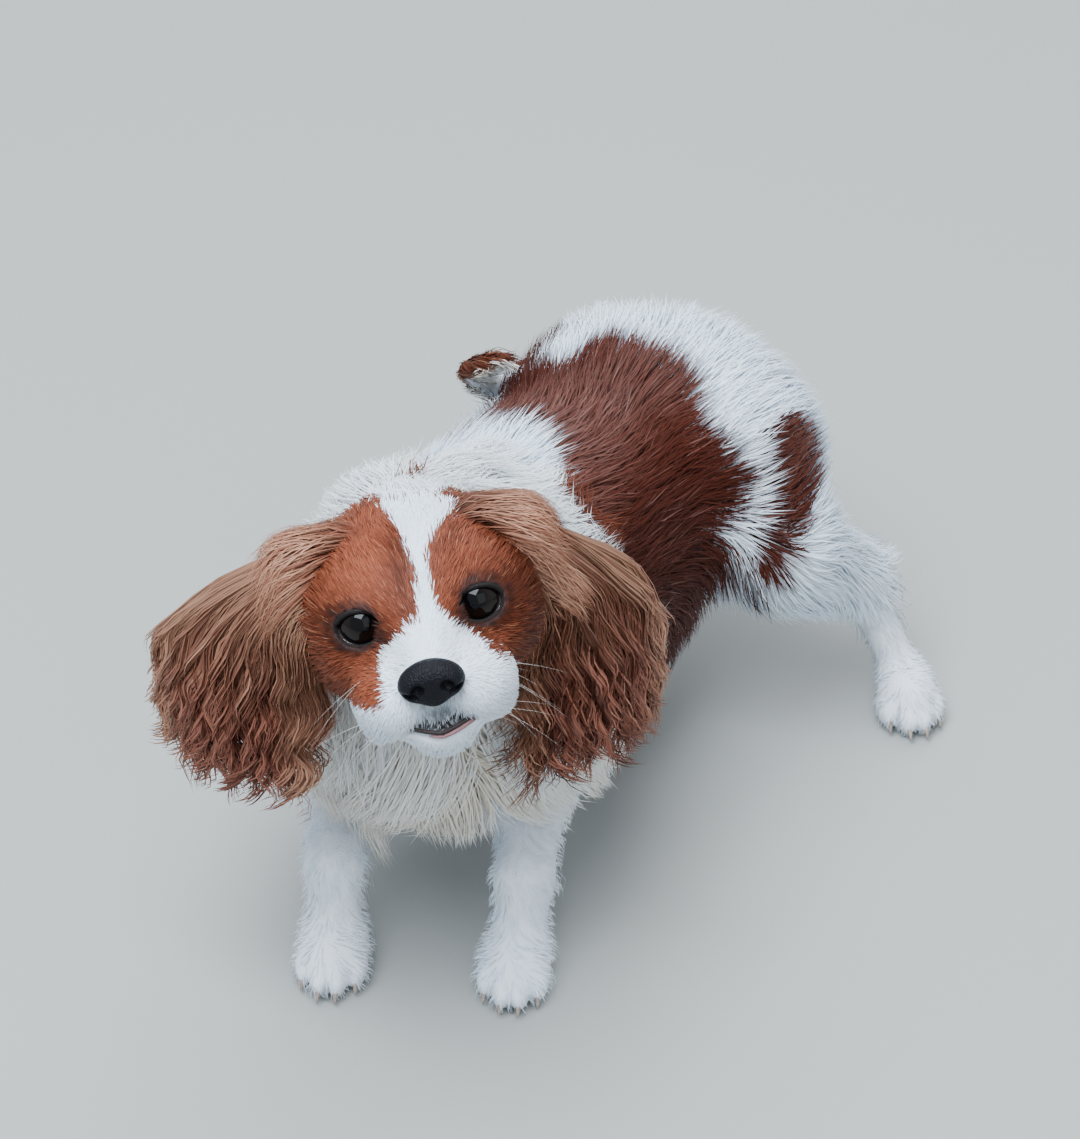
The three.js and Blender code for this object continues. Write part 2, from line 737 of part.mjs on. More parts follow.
function growLegs() {
  for (const [name, side] of Object.entries(sides)) {
    const { stifle, hock } = hindLegs[name]
    const hip = hips(-6, side * 33, 128)
    for (const angle of [-55, 20, 95]) {
      const turned = degToRad(angle)
      growLock(leaving(hip.clone().lerp(stifle, 0.9), vec(side * Math.cos(turned), Math.sin(turned), -0.1)), {
        lie: legLie,
        length: 46 * vary(0.15),
        half: 13,
        thick: 3.2,
        rise: 3.5,
        steps: 4,
      })
    }
    for (let n = 0; n < 3; n++) {
      const middle = stifle.clone().lerp(hock, lerp(0.3, 1, n / 2))
      growLock(leaving(middle, vec(side * between(-0.3, 0.5), 1, 0)), {
        lie: () => down.clone().addScaledVector(back, 0.8).normalize(),
        length: lerp(36, 26, n / 2) * vary(0.15),
        half: 9,
        thick: 2.6,
        rise: 3,
        steps: 4,
        sway: 0.7,
      })
      const forearm = chest(6, side * 46, 80).lerp(chest(68, side * 43, 44), lerp(0.75, 1.2, n / 2))
      const behind = vec(0, 0, -0.4).sub(chestForward).addScaledVector(chestLeft, between(-0.5, 0.5))
      growLock(leaving(forearm, behind), {
        lie: () => down.clone().addScaledVector(chestForward, -0.5).normalize(),
        length: lerp(34, 22, n / 2) * vary(0.15),
        half: 7.5,
        thick: 2.6,
        rise: 2.5,
        steps: 4,
        sway: 0.7,
      })
    }
  }
}

// Feathering of an ear: locks that fan and wave from the leather to the tip, in tiers on both sides.
function earLocks(name) {
  const tiers = [
    { down: 0.12, face: 1, count: 3, reach: 0.52 },
    { down: 0.46, face: 1, count: 5, reach: 0.54 },
    { down: 0.52, face: -1, count: 4, reach: 0.46 },
  ]
  return tiers.flatMap(tier => Array.from({ length: tier.count }, (unused, n) => {
    const start = lerp(-0.82, 0.82, n / (tier.count - 1)) + between(-0.05, 0.05)
    const reach = tier.reach * vary(0.1)
    const wave = between(0.04, 0.1)
    const phase = between(0, 6)
    const steps = 5
    const line = []
    const ups = []
    for (let i = 0; i <= steps; i++) {
      const along = i / steps
      const depth = tier.down + reach * along
      const across = start * (1 + 0.35 * along) + wave * Math.sin(phase + along * 7) * along
      const out = tier.face * (ear.thick * Math.min(along * 6, 1) + 2.5 * along)
      line.push(earPoint(name, depth, across, out))
      const lift = earPoint(name, depth, across, out + tier.face)
      ups.push(lift.sub(line[i]))
    }
    return lockAlong(line, ups, 9 * vary(0.12), 2.6)
  }))
}

// The tail is a tapered rod along its line, feathered below and at its tip.
const tailCurve = new THREE.CatmullRomCurve3(tailLine)

function tailAt(along) {
  return tailCurve.getPoint(along)
}

function tailRod(from, to) {
  const rings = []
  const steps = Math.round(12 * (to - from))
  for (let i = 0; i <= steps; i++) {
    const along = lerp(from, to, i / steps)
    const turned = frameAlong(tailCurve.getTangent(along))
    const radius = lerp(tailRadius.root, tailRadius.tip, Math.sqrt(along))
    const ring = []
    for (let n = 0; n < 8; n++) {
      const angle = Math.PI * 2 * n / 8
      const out = vec(Math.cos(angle), Math.sin(angle), 0).applyQuaternion(turned)
      ring.push(tailAt(along).addScaledVector(out, radius))
    }
    rings.push(ring)
  }
  return loft(rings)
}

// Locks of the tail lie along it, spread a little from it and reach past its end.
function tailLocks(from, to, count) {
  return Array.from({ length: count }, (unused, n) => {
    const start = lerp(from, to, n / (count - 1))
    const angle = n * 2.4
    const steps = 4
    const spread = between(9, 14)
    const line = []
    const ups = []
    for (let i = 0; i <= steps; i++) {
      const along = start + 0.24 * i / steps
      const end = Math.min(along, 1)
      const turned = frameAlong(tailCurve.getTangent(end))
      const out = vec(Math.cos(angle), Math.sin(angle), 0).applyQuaternion(turned)
      const radius = lerp(tailRadius.root, tailRadius.tip, Math.sqrt(end))
      const past = (along - end) * tailCurve.getLength()
      const p = tailAt(end).addScaledVector(tailCurve.getTangent(end), past)
      p.addScaledVector(out, radius * 0.4 + spread * i / steps)
      const off = core(p) - 4
      if (off < 0) p.addScaledVector(slopeOf(core, p), -off)
      line.push(p)
      ups.push(out)
    }
    return lockAlong(line, ups, 8.5 * vary(0.15), 2.8)
  })
}

// Four toes with blunt claws along the front of each paw.
const paws = {
  leg_front_left: { at: chest(87, 41, 0), to: chestTurn },
  leg_front_right: { at: chest(87, -41, 0), to: chestTurn },
  leg_hind_left: { at: hindLegs.left.foot, to: hindLegs.left.toesTo },
  leg_hind_right: { at: hindLegs.right.foot, to: hindLegs.right.toesTo },
}

function toes(name) {
  const { at, to } = paws[name]
  const turned = turn(zAxis, to)
  return [-1.5, -0.5, 0.5, 1.5].map(n => {
    const reach = (name.includes('front') ? 0 : 10) + 17 - 3.5 * n * n
    const place = vec(n * 7.6, -reach, 8.5).applyQuaternion(turned).add(vec(at.x, at.y, 0))
    return solidOf(new THREE.SphereGeometry(1, 6, 3), place, turned, vec(5.6, 9.5, 8.4))
  })
}

// Grids, finer towards the feet.
function legGrid(low, high, top, size) {
  const rise = at => lerp(cell.leg, cell.thigh, smoothstep(at, 30, 100))
  return [lines(low[0], high[0], () => size), lines(low[1], high[1], () => size), lines(-14, top, rise)]
}

// Each part is joined to its locks, and cut clear of the rooms of those placed before it.
const shapes = {}
const rooms = []

function place(name, { shape, room }, locks = []) {
  const whole = wasm.Manifold.union([shape, ...locks.map(lock => lock.shape)])
  const clear = rooms.reduce((left, other) => left.subtract(other), whole)
  shapes[name] = largest(clear.subtract(floorBlock))
  rooms.push(wasm.Manifold.union([room, whole, ...locks.map(lock => lock.room)]))
}

function placeLoft(name, skin, locks) {
  place(name, { shape: solid(skin), room: solid(grown(skin, gap * 1.5)) }, locks)
}

growTrunk()
growRuff()
growChest()
growFringe()
growLegs()

for (const [name, side] of Object.entries(sides)) {
  place('eye_' + name, { shape: eyeBall(side, 0, 12), room: eyeBall(side, gap, 12) })
}
place('nose', { shape: noseSolid(0).subtract(nostril(1)).subtract(nostril(-1)), room: noseSolid(gap) })
place('head', buildHead())
for (const name of Object.keys(sides)) placeLoft('ear_' + name, earLeather(name), earLocks(name))

const trunkGrids = {
  neck: evenGrid([-80, -240, 90], [130, -20, 280], cell.neck),
  torso: evenGrid([-90, -240, 20], [110, 190, 250], cell.torso),
  leg_front_left: legGrid([-20, -260], [130, -20], 100, cell.leg),
  leg_front_right: legGrid([-120, -260], [70, -20], 100, cell.leg),
  leg_hind_left: legGrid([10, 20], [160, 190], 190, cell.leg),
  leg_hind_right: legGrid([-130, 20], [0, 190], 190, cell.leg),
}
const cutBy = {
  neck: ['head'],
  torso: Object.keys(regions),
  leg_front_left: ['neck'],
  leg_front_right: ['neck'],
  leg_hind_left: [],
  leg_hind_right: [],
}
for (const [name, grid] of Object.entries(trunkGrids)) {
  const part = bodyPart(name, grid, cutBy[name])
  if (paws[name]) part.shape = wasm.Manifold.union([part.shape, ...toes(name)])
  place(name, part, coatLocks[name])
}
placeLoft('tail_root', tailRod(0, 0.5 - tailSplit), tailLocks(0.28, 0.42, 4))
placeLoft('tail_tip', tailRod(0.5, 1), tailLocks(0.53, 0.93, 7))

const finishes = {
  chestnut: { color: 0x8a4a2c, roughness: 0.75 },
  white: { color: 0xe9e2d6, roughness: 0.8 },
  ear: { color: 0x8f5a3f, roughness: 0.7 },
  eye: { color: 0x14100e, roughness: 0.08 },
  nose: { color: 0x17161a, roughness: 0.35 },
}

function finishOf(name) {
  if (name.startsWith('eye')) return finishes.eye
  if (name.startsWith('ear')) return finishes.ear
  if (name.startsWith('leg')) return finishes.white
  return finishes[name] ?? (name === 'neck' ? finishes.white : finishes.chestnut)
}

const dog = new THREE.Group()
for (const [name, shape] of Object.entries(shapes)) {
  const material = new THREE.MeshStandardMaterial({ ...finishOf(name), metalness: 0 })
  const mesh = new THREE.Mesh(geometryOf(shape), material)
  mesh.name = name
  dog.add(mesh)
}
const bounds = new THREE.Box3().setFromObject(dog)
const middle = bounds.getCenter(vec(0, 0, 0))
dog.position.set(-middle.x, -middle.y, -bounds.min.z)

export default dog
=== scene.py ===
# A chestnut and white toy spaniel, life size, crouching with its face turned up
import itertools
import math

import bmesh
import bpy
import numpy as np
from mathutils import Matrix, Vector
from mathutils.kdtree import KDTree


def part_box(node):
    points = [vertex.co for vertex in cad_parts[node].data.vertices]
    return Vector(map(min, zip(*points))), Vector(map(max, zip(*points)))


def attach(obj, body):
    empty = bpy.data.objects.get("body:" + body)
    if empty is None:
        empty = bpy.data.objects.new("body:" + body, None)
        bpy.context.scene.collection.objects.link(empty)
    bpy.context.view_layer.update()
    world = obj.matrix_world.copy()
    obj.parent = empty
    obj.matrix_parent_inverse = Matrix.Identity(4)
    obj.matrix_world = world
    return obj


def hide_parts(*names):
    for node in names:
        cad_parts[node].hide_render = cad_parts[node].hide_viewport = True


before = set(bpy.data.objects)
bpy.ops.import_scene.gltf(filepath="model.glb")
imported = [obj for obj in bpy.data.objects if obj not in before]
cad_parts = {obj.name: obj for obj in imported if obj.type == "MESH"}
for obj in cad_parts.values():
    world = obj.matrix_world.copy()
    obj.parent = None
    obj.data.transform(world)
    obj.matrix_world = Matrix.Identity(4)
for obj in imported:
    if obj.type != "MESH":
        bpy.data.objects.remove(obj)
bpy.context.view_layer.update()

draws = np.random.default_rng(41)
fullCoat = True
coatShare = 1.0 if fullCoat else 0.3


# Small helpers. Shapes are worked out in millimetres, in the body's own frame.

def vec(*numbers):
    return np.array(numbers, float)


def unit(vectors):
    return vectors / np.maximum(np.linalg.norm(vectors, axis=-1, keepdims=True), 1e-9)


def turn(axis, degrees):
    return np.array(Matrix.Rotation(math.radians(degrees), 3, axis))


def ramp(value, low, high):
    t = np.clip((value - low) / (high - low), 0, 1)
    return t * t * (3 - 2 * t)


def mix(a, b, share):
    return a + (b - a) * share


def hill(*parts):
    # one where every part is nought, falling off smoothly round it
    return np.exp(-sum(part ** 2 for part in parts))


def distance(points, spot):
    return np.linalg.norm(points - spot, axis=1)


pose = {
    "chestTurn": 29, "chestAt": vec(3, -92, 0), "hipsAt": vec(0, 84, 0),
    "headAt": vec(52, -178, 230.5), "headYaw": 39, "headPitch": 20, "headRoll": 10,
}
sides = {"left": 1, "right": -1}
down = vec(0, 0, -1)
chestForward = turn("Z", pose["chestTurn"]) @ vec(0, -1, 0)
chestLeft = turn("Z", pose["chestTurn"]) @ vec(1, 0, 0)
headTurn = turn("Z", pose["headYaw"]) @ turn("X", -pose["headPitch"]) @ turn("Y", -pose["headRoll"])


def chest(forward, left, up):
    return pose["chestAt"] + chestForward * forward + chestLeft * left + vec(0, 0, up)


def hips(forward, left, up):
    return pose["hipsAt"] + vec(left, -forward, up)


def face(left, back, up):
    return pose["headAt"] + headTurn @ vec(left, back, up)


def toFace(points):
    return (points - pose["headAt"]) @ headTurn


# Distances from points to simple forms, below zero inside them

def limb(a, b, radiusA, radiusB):
    axis = b - a
    length2 = axis @ axis
    taper = radiusA - radiusB
    slope2 = length2 - taper * taper

    def form(points):
        fromA = points - a
        y = fromA @ axis
        z = y - length2
        x2 = ((fromA * length2 - y[:, None] * axis) ** 2).sum(1)
        y2 = y * y * length2
        z2 = z * z * length2
        k = np.sign(taper) * taper * taper * x2
        side = (np.sqrt(x2 * slope2 / length2) + y * taper) / length2 - radiusA
        pastB = np.sqrt(x2 + z2) / length2 - radiusB
        beforeA = np.sqrt(x2 + y2) / length2 - radiusA
        near = np.where(np.sign(y) * slope2 * y2 < k, beforeA, side)
        return np.where(np.sign(z) * slope2 * z2 > k, pastB, near)
    return form


def egg(centre, radii, turned=np.eye(3)):
    def form(points):
        q = (points - centre) @ turned / radii
        near = np.linalg.norm(q, axis=1)
        return near * (near - 1) / np.maximum(np.linalg.norm(q / radii, axis=1), 1e-9)
    return form


def soft(a, b, k):
    h = np.maximum(k - np.abs(a - b), 0) / k
    return np.minimum(a, b) - h * h * k / 4


def joined(first, *rest):
    def form(points):
        near = first(points)
        for other, softness in rest:
            near = soft(near, other(points), softness)
        return near
    return form


def chained(forms, softness):
    first, *rest = forms
    return joined(first, *[(form, softness) for form in rest])


def slopeOf(form, points, step=0.4):
    shifts = [vec(1, -1, -1), vec(-1, -1, 1), vec(-1, 1, -1), vec(1, 1, 1)]
    return unit(sum(shift * form(points + shift * step)[:, None] for shift in shifts))


# The body's flesh, from the same named sizes as its solids

torsoForm = joined(
    limb(hips(-13, 0, 126), vec(0, 35, 130), 46, 43),
    (limb(vec(0, 35, 130), vec(2, -20, 136), 43, 47), 20),
    (limb(vec(2, -20, 136), vec(8, -92, 144), 47, 49), 20),
    (limb(hips(24, 0, 104), vec(0, 0, 96), 38, 44), 40),
    (limb(vec(0, 0, 96), vec(8, -82, 96), 44, 49), 40),
    (limb(vec(8, -82, 96), chest(42, 0, 112), 49, 36), 40),
)
neckFrom = chest(5, 0, 158)
neckTo = face(0, 30, -8)
neckAxis = unit(neckTo - neckFrom)
neckForm = limb(neckFrom, neckTo, 42, 35)

hindLegs = {
    "left": {
        "stifle": vec(75, 76, 99), "hock": vec(93, 121, 58), "foot": vec(116, 124, 18), "toesTo": 46,
    },
    "right": {
        "stifle": vec(-74, 58, 92), "hock": vec(-76, 118, 54), "foot": vec(-84, 102, 17), "toesTo": -18,
    },
}
paws = {
    "frontLeft": {"at": chest(87, 41, 0), "to": pose["chestTurn"], "reach": 17},
    "frontRight": {"at": chest(87, -41, 0), "to": pose["chestTurn"], "reach": 17},
    "hindLeft": {"at": hindLegs["left"]["foot"], "to": hindLegs["left"]["toesTo"], "reach": 27},
    "hindRight": {"at": hindLegs["right"]["foot"], "to": hindLegs["right"]["toesTo"], "reach": 27},
}
toe = {"places": (-1.5, -0.5, 0.5, 1.5), "apart": 7.6, "radii": vec(5, 10, 7.5), "up": 8.5, "arc": 3.5}


def toePlace(paw, n):
    reach = paw["reach"] - toe["arc"] * n * n
    at = turn("Z", paw["to"]) @ vec(n * toe["apart"], -reach, 0)
    return vec(paw["at"][0] + at[0], paw["at"][1] + at[1], toe["up"])


def toeForm(paw):
    turned = turn("Z", paw["to"])
    return chained([egg(toePlace(paw, n), toe["radii"], turned) for n in toe["places"]], 1.5)


def frontLegForm(side, paw):
    return joined(
        limb(chest(26, side * 34, 120), chest(6, side * 46, 80), 29, 20),
        (limb(chest(6, side * 46, 80), chest(68, side * 43, 44), 17, 12), 14),
        (limb(chest(68, side * 43, 44), chest(78, side * 42, 18), 12, 12), 8),
        (egg(chest(87, side * 41, 12), vec(16, 20, 13), turn("Z", pose["chestTurn"])), 8),
        (toeForm(paw), 3),
    )


def hindLegForm(name, paw):
    leg = hindLegs[name]
    turned = turn("Z", leg["toesTo"])
    return joined(
        limb(hips(-6, sides[name] * 33, 128), leg["stifle"], 38, 19),
        (limb(leg["stifle"], leg["hock"], 19, 10), 18),
        (limb(leg["hock"], leg["foot"], 9.5, 8.5), 8),
        (egg(leg["foot"] + turned @ vec(0, -10, -4), vec(14, 20, 12), turned), 8),
        (toeForm(paw), 3),
    )


tail = {
    "line": [
        vec(0, 126, 138), vec(-25, 146, 129), vec(-56, 137, 125), vec(-79, 108, 124),
        vec(-91, 79, 128), vec(-94, 64, 141), vec(-83, 59, 152),
    ],
    "radii": [16, 12, 9, 7, 6, 5, 4],
}
tailSpots = list(zip(tail["line"], tail["radii"]))
tailForm = chained([limb(a, b, r, q) for (a, r), (b, q) in zip(tailSpots, tailSpots[1:])], 8)
trunkForm = joined(
    torsoForm,
    (neckForm, 40),
    (frontLegForm(1, paws["frontLeft"]), 26),
    (frontLegForm(-1, paws["frontRight"]), 26),
    (hindLegForm("left", paws["hindLeft"]), 26),
    (hindLegForm("right", paws["hindRight"]), 26),
    (tailForm, 10),
)

# The head, in its own frame: left, back and up from the middle of the skull

eye = {
    "apart": 48, "back": -35, "up": 0, "radius": 11, "lid": 1.5, "wide": 19.6, "high": 15.6,
    "outward": 9, "lookUp": 17, "corner": 2.2, "cornerDrop": 1.3, "ball": 0.985, "cornea": 0.05,
}
nose = {
    "at": vec(0, -82, -16), "wide": 27, "deep": 15, "high": 20,
    "dark": (0.002, 0.002, 0.003, 1), "light": (0.007, 0.007, 0.010, 1),
}
mouth = {"half": 30, "middle": -79, "sweep": 34, "up": -39.5, "rise": 6, "groove": 1.5}


def eyeFrame(side):
    return turn("Z", side * eye["outward"])


def eyeMiddle(side):
    return vec(side * eye["apart"] / 2, eye["back"], eye["up"])


skullForm = joined(
    egg(vec(0, 6, 2), vec(42, 50, 30)),
    (egg(vec(0, -22, 3), vec(35, 24, 22)), 20),
    *[(egg(vec(side * 29, -18, -14), vec(18, 24, 22)), 16) for side in (1, -1)],
    (limb(vec(0, -40, -10), vec(0, -70, -14), 17, 12), 14),
    *[(egg(vec(side * 17, -58, -26), vec(17, 23, 17)), 8) for side in (1, -1)],
    (egg(vec(0, -60, -41), vec(15, 18, 10.5)), 6),
    (limb(vec(0, -45, -36), vec(0, 0, -24), 12, 26), 14),
    *[(egg(eyeMiddle(side), np.full(3, eye["radius"] + eye["lid"])), 5) for side in (1, -1)],
)


def almond(side, count=56):
    # outline of the open eye, across and up, drawn out at the inner corner
    angle = np.arange(count) / count * 2 * math.pi
    across = np.cos(angle) * eye["wide"] / 2
    inner = np.clip(-across * side / (eye["wide"] / 2), 0, 1) ** 6
    across = across - side * eye["corner"] * inner
    up = np.sin(angle) * eye["high"] / 2 * (1 - 0.3 * inner) - eye["cornerDrop"] * inner
    return across, up


def eyeOpening(side):
    def form(points):
        q = (points - eyeMiddle(side)) @ eyeFrame(side)
        ring = np.hypot(q[:, 0] / (eye["wide"] / 2), q[:, 2] / (eye["high"] / 2)) - 1
        corner = np.hypot(q[:, 0] * side + eye["wide"] / 2 - 0.6, q[:, 2] + eye["cornerDrop"])
        corner = corner - eye["corner"]
        return np.maximum(soft(ring * eye["high"] / 2, corner, 1.5), q[:, 1] + 2)
    return form


def mouthPoint(across, inward=0.0, up=0.0):
    a = abs(across)
    left = across * (mouth["half"] - 0.35 * inward * a)
    back = mouth["middle"] + mouth["sweep"] * a * a + inward
    return vec(left, back, mouth["up"] + mouth["rise"] * a + up)


mouthSteps = [mouthPoint(across) for across in np.linspace(-1, 1, 9)]
mouthLimbs = [limb(a, b, mouth["groove"], mouth["groove"] - 0.01) for a, b in zip(mouthSteps, mouthSteps[1:])]
mouthGroove = chained(mouthLimbs, 0.5)


def headForm(points):
    q = toFace(points)
    near = skullForm(q)
    for side in (1, -1):
        near = np.maximum(near, -eyeOpening(side)(q))
    return -soft(-near, mouthGroove(q), 1.5)


def plainHeadForm(points):
    return skullForm(toFace(points))


def fleshForm(points):
    return soft(trunkForm(points), headForm(points), 22)


def smoothForm(points):
    # the flesh without its openings, which hair keeps clear of
    return soft(trunkForm(points), plainHeadForm(points), 22)


coat = {"face": 3.0, "body": 13, "ruff": 26, "leg": 5}


def coatDepth(points):
    fromChest = points - pose["chestAt"]
    forward = fromChest @ chestForward
    upNeck = (points - neckFrom) @ neckAxis
    ruff = ramp(forward, 5, 45) * ramp(points[:, 2], 62, 95)
    depth = mix(coat["body"], coat["ruff"], ruff)
    depth = mix(depth, coat["face"], ramp(upNeck, 40, 88))
    return mix(coat["leg"], depth, ramp(points[:, 2], 48, 88))


# The place of the model's frame, found from the eye that the solids and this script share
low, high = (np.array(corner) * 1000 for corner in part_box("eye_left"))
frameShift = (low + high) / 2 - face(*eyeMiddle(1))


def toMetres(points):
    return (points + frameShift) / 1000


# Camera, floor and light

def addObject(name, data):
    obj = bpy.data.objects.new(name, data)
    bpy.context.scene.collection.objects.link(obj)
    return obj


camera = {
    "azimuth": 37, "elevation": 38, "distance": 1900, "scale": 0.41, "aim": face(0, -40, 0),
    "aimPixel": (418.5, 611), "frame": (1080, 1139), "sensor": 36,
}


def makeCamera():
    azimuth, elevation = math.radians(camera["azimuth"]), math.radians(camera["elevation"])
    level = math.cos(elevation)
    back = vec(math.sin(azimuth) * level, -math.cos(azimuth) * level, math.sin(elevation))
    right = vec(math.cos(azimuth), math.sin(azimuth), 0)
    up = np.cross(back, right)
    width, height = camera["frame"]
    focal = camera["distance"] / camera["scale"]
    besideAim = (width / 2 - camera["aimPixel"][0]) / focal
    aboveAim = (camera["aimPixel"][1] - height / 2) / focal
    forward = unit(-back + right * besideAim + up * aboveAim)
    across = unit(np.cross(forward, vec(0, 0, 1)))
    upward = np.cross(across, forward)
    data = bpy.data.cameras.new("camera")
    data.sensor_width = camera["sensor"]
    data.lens = focal / height * camera["sensor"]
    obj = addObject("camera", data)
    place = np.eye(4)
    place[:3, 0], place[:3, 1], place[:3, 2] = across, upward, -forward
    place[:3, 3] = toMetres(camera["aim"] + back * camera["distance"])
    obj.matrix_world = Matrix(place.tolist())
    bpy.context.scene.camera = obj


lights = {
    "sky": {"at": (-0.5, -0.1, 2.8), "size": 2.4, "power": 60, "colour": (0.88, 0.94, 1.0)},
    "window": {"at": (0.15, -0.95, 2.35), "size": 1.5, "power": 112, "colour": (0.86, 0.93, 1.0)},
    "side": {"at": (2.2, -1.0, 1.6), "size": 2.0, "power": 14, "colour": (1.0, 0.98, 0.95)},
    "back": {"at": (-0.6, 1.9, 2.3), "size": 1.8, "power": 42, "colour": (0.94, 0.97, 1.0)},
    "world": {"colour": (0.84, 0.92, 1.0), "strength": 0.84},
    "floor": {"colour": (0.34, 0.35, 0.34, 1), "half": 6.0},
}


def makeStage():
    half = lights["floor"]["half"]
    mesh = bpy.data.meshes.new("floor")
    corners = [(-half, -half, 0), (half, -half, 0), (half, half, 0), (-half, half, 0)]
    mesh.from_pydata(corners, [], [(0, 1, 2, 3)])
    floor = addObject("floor", mesh)
    mesh.materials.append(newMaterial("floorPaint", Base_Color=lights["floor"]["colour"], Roughness=0.8)[0])
    for name in ("sky", "window", "side", "back"):
        values = lights[name]
        data = bpy.data.lights.new(name + "Light", "AREA")
        data.size = values["size"]
        data.energy = values["power"]
        data.color = values["colour"]
        lamp = addObject(name + "Light", data)
        lamp.location = values["at"]
        lamp.rotation_euler = lamp.location.to_track_quat("Z", "Y").to_euler()
    world = bpy.data.worlds.new("softSky")
    world.use_nodes = True
    background = world.node_tree.nodes["Background"]
    background.inputs["Color"].default_value = (*lights["world"]["colour"], 1)
    background.inputs["Strength"].default_value = lights["world"]["strength"]
    bpy.context.scene.world = world


# Node groups that several materials share

def newGroup(name, output, **inputs):
    # numbers make plain sockets, and colours make colour sockets
    group = bpy.data.node_groups.new(name, "ShaderNodeTree")
    for label, value in inputs.items():
        kind = "NodeSocketFloat" if isinstance(value, float) else "NodeSocketColor"
        group.interface.new_socket(label, in_out="INPUT", socket_type=kind).default_value = value
    kind = "NodeSocketColor" if output == "Colour" else "NodeSocketFloat"
    group.interface.new_socket(output, in_out="OUTPUT", socket_type=kind)
    given = group.nodes.new("NodeGroupInput").outputs
    return group, given, group.nodes.new("NodeGroupOutput").inputs[output]


def feed(tree, socket, value):
    if isinstance(value, bpy.types.NodeSocket):
        tree.links.new(value, socket)
    else:
        socket.default_value = value


def mixColour(tree, share, a, b):
    node = tree.nodes.new("ShaderNodeMix")
    node.data_type = "RGBA"
    for socket, value in ((node.inputs[0], share), (node.inputs[6], a), (node.inputs[7], b)):
        feed(tree, socket, value)
    return node.outputs[2]


def maths(tree, operation, *values, clamp=False):
    node = tree.nodes.new("ShaderNodeMath")
    node.operation = operation
    node.use_clamp = clamp
    for socket, value in zip(node.inputs, values):
        feed(tree, socket, value)
    return node.outputs[0]


def attribute(tree, name):
    node = tree.nodes.new("ShaderNodeAttribute")
    node.attribute_name = name
    return node.outputs["Fac"]


def coatColourGroup():
    # colour of a tuft from its markings, its own tone, its streak and the way from root to tip; the darker
    # roots are painted shade deep in the coat, and the tone also carries painted light and shade
    group, given, made = newGroup(
        "coatColour", "Colour", White=0.0, Gold=0.0, Dark=0.0, Tone=0.5, Along=0.5, Streak=0.5,
        Deep=(0.1, 0.03, 0.015, 1), Warm=(0.3, 0.1, 0.04, 1), Golden=(0.55, 0.32, 0.16, 1),
        Snow=(0.8, 0.8, 0.8, 1), Cream=(0.7, 0.6, 0.42, 1), Black=(0.018, 0.012, 0.012, 1))
    # painted shade at the roots: the colour lightens from root to tip
    toneAndPaintedLight = maths(group, "MULTIPLY_ADD", given["Along"], 0.35, given["Tone"])
    toneAndPaintedLight = maths(group, "MULTIPLY_ADD", given["Streak"], 0.5, toneAndPaintedLight)
    toneAndPaintedLight = maths(group, "SUBTRACT", toneAndPaintedLight, 0.42, clamp=True)
    chestnut = mixColour(group, toneAndPaintedLight, given["Deep"], given["Warm"])
    chestnut = mixColour(group, given["Gold"], chestnut, given["Golden"])
    pale = mixColour(group, toneAndPaintedLight, given["Cream"], given["Snow"])
    colour = mixColour(group, given["White"], chestnut, pale)
    feed(group, made, mixColour(group, given["Dark"], colour, given["Black"]))
    return group


def tuftStreakGroup():
    # fine light and dark lines down a tuft, so that one tuft reads as several hairs
    group, given, made = newGroup("tuftStreak", "Streak", Across=0.0, Along=0.0, Seed=0.0, Lines=1.6)
    place = group.nodes.new("ShaderNodeCombineXYZ")
    for axis, value, factor in (("X", given["Across"], given["Lines"]), ("Y", given["Along"], 0.7),
                                ("Z", given["Seed"], 97.0)):
        feed(group, place.inputs[axis], maths(group, "MULTIPLY", value, factor))
    noise = group.nodes.new("ShaderNodeTexNoise")
    for label, value in (("Scale", 1.4), ("Detail", 1.0), ("Vector", place.outputs["Vector"])):
        feed(group, noise.inputs[label], value)
    feed(group, made, maths(group, "MULTIPLY_ADD", noise.outputs["Fac"], 1.7, -0.35, clamp=True))
    return group


def fineGrainGroup():
    # fine uneven surface, as a height
    group, given, made = newGroup("fineGrain", "Height", Scale=900.0, Cells=1.0)
    place = group.nodes.new("ShaderNodeTexCoord")
    cells = group.nodes.new("ShaderNodeTexVoronoi")
    noise = group.nodes.new("ShaderNodeTexNoise")
    for node in (cells, noise):
        feed(group, node.inputs["Vector"], place.outputs["Object"])
        feed(group, node.inputs["Scale"], given["Scale"])
    bumps = maths(group, "MULTIPLY", cells.outputs["Distance"], given["Cells"])
    feed(group, made, maths(group, "MULTIPLY_ADD", noise.outputs["Fac"], 0.5, bumps))
    return group


groups = {"coatColour": coatColourGroup(), "tuftStreak": tuftStreakGroup(), "fineGrain": fineGrainGroup()}


def newMaterial(name, **constants):
    material = bpy.data.materials.new(name)
    material.use_nodes = True
    tree = material.node_tree
    shader = tree.nodes["Principled BSDF"]
    for label, value in constants.items():
        shader.inputs[label.replace("_", " ")].default_value = value
    return material, tree, shader


def placeGroup(tree, name, **values):
    node = tree.nodes.new("ShaderNodeGroup")
    node.node_tree = groups[name]
    for label, value in values.items():
        feed(tree, node.inputs[label], value)
    return node


def addBump(tree, shader, height, strength, deep):
    bump = tree.nodes.new("ShaderNodeBump")
    for label, value in (("Strength", strength), ("Distance", deep), ("Height", height)):
        feed(tree, bump.inputs[label], value)
    feed(tree, shader.inputs["Normal"], bump.outputs["Normal"])
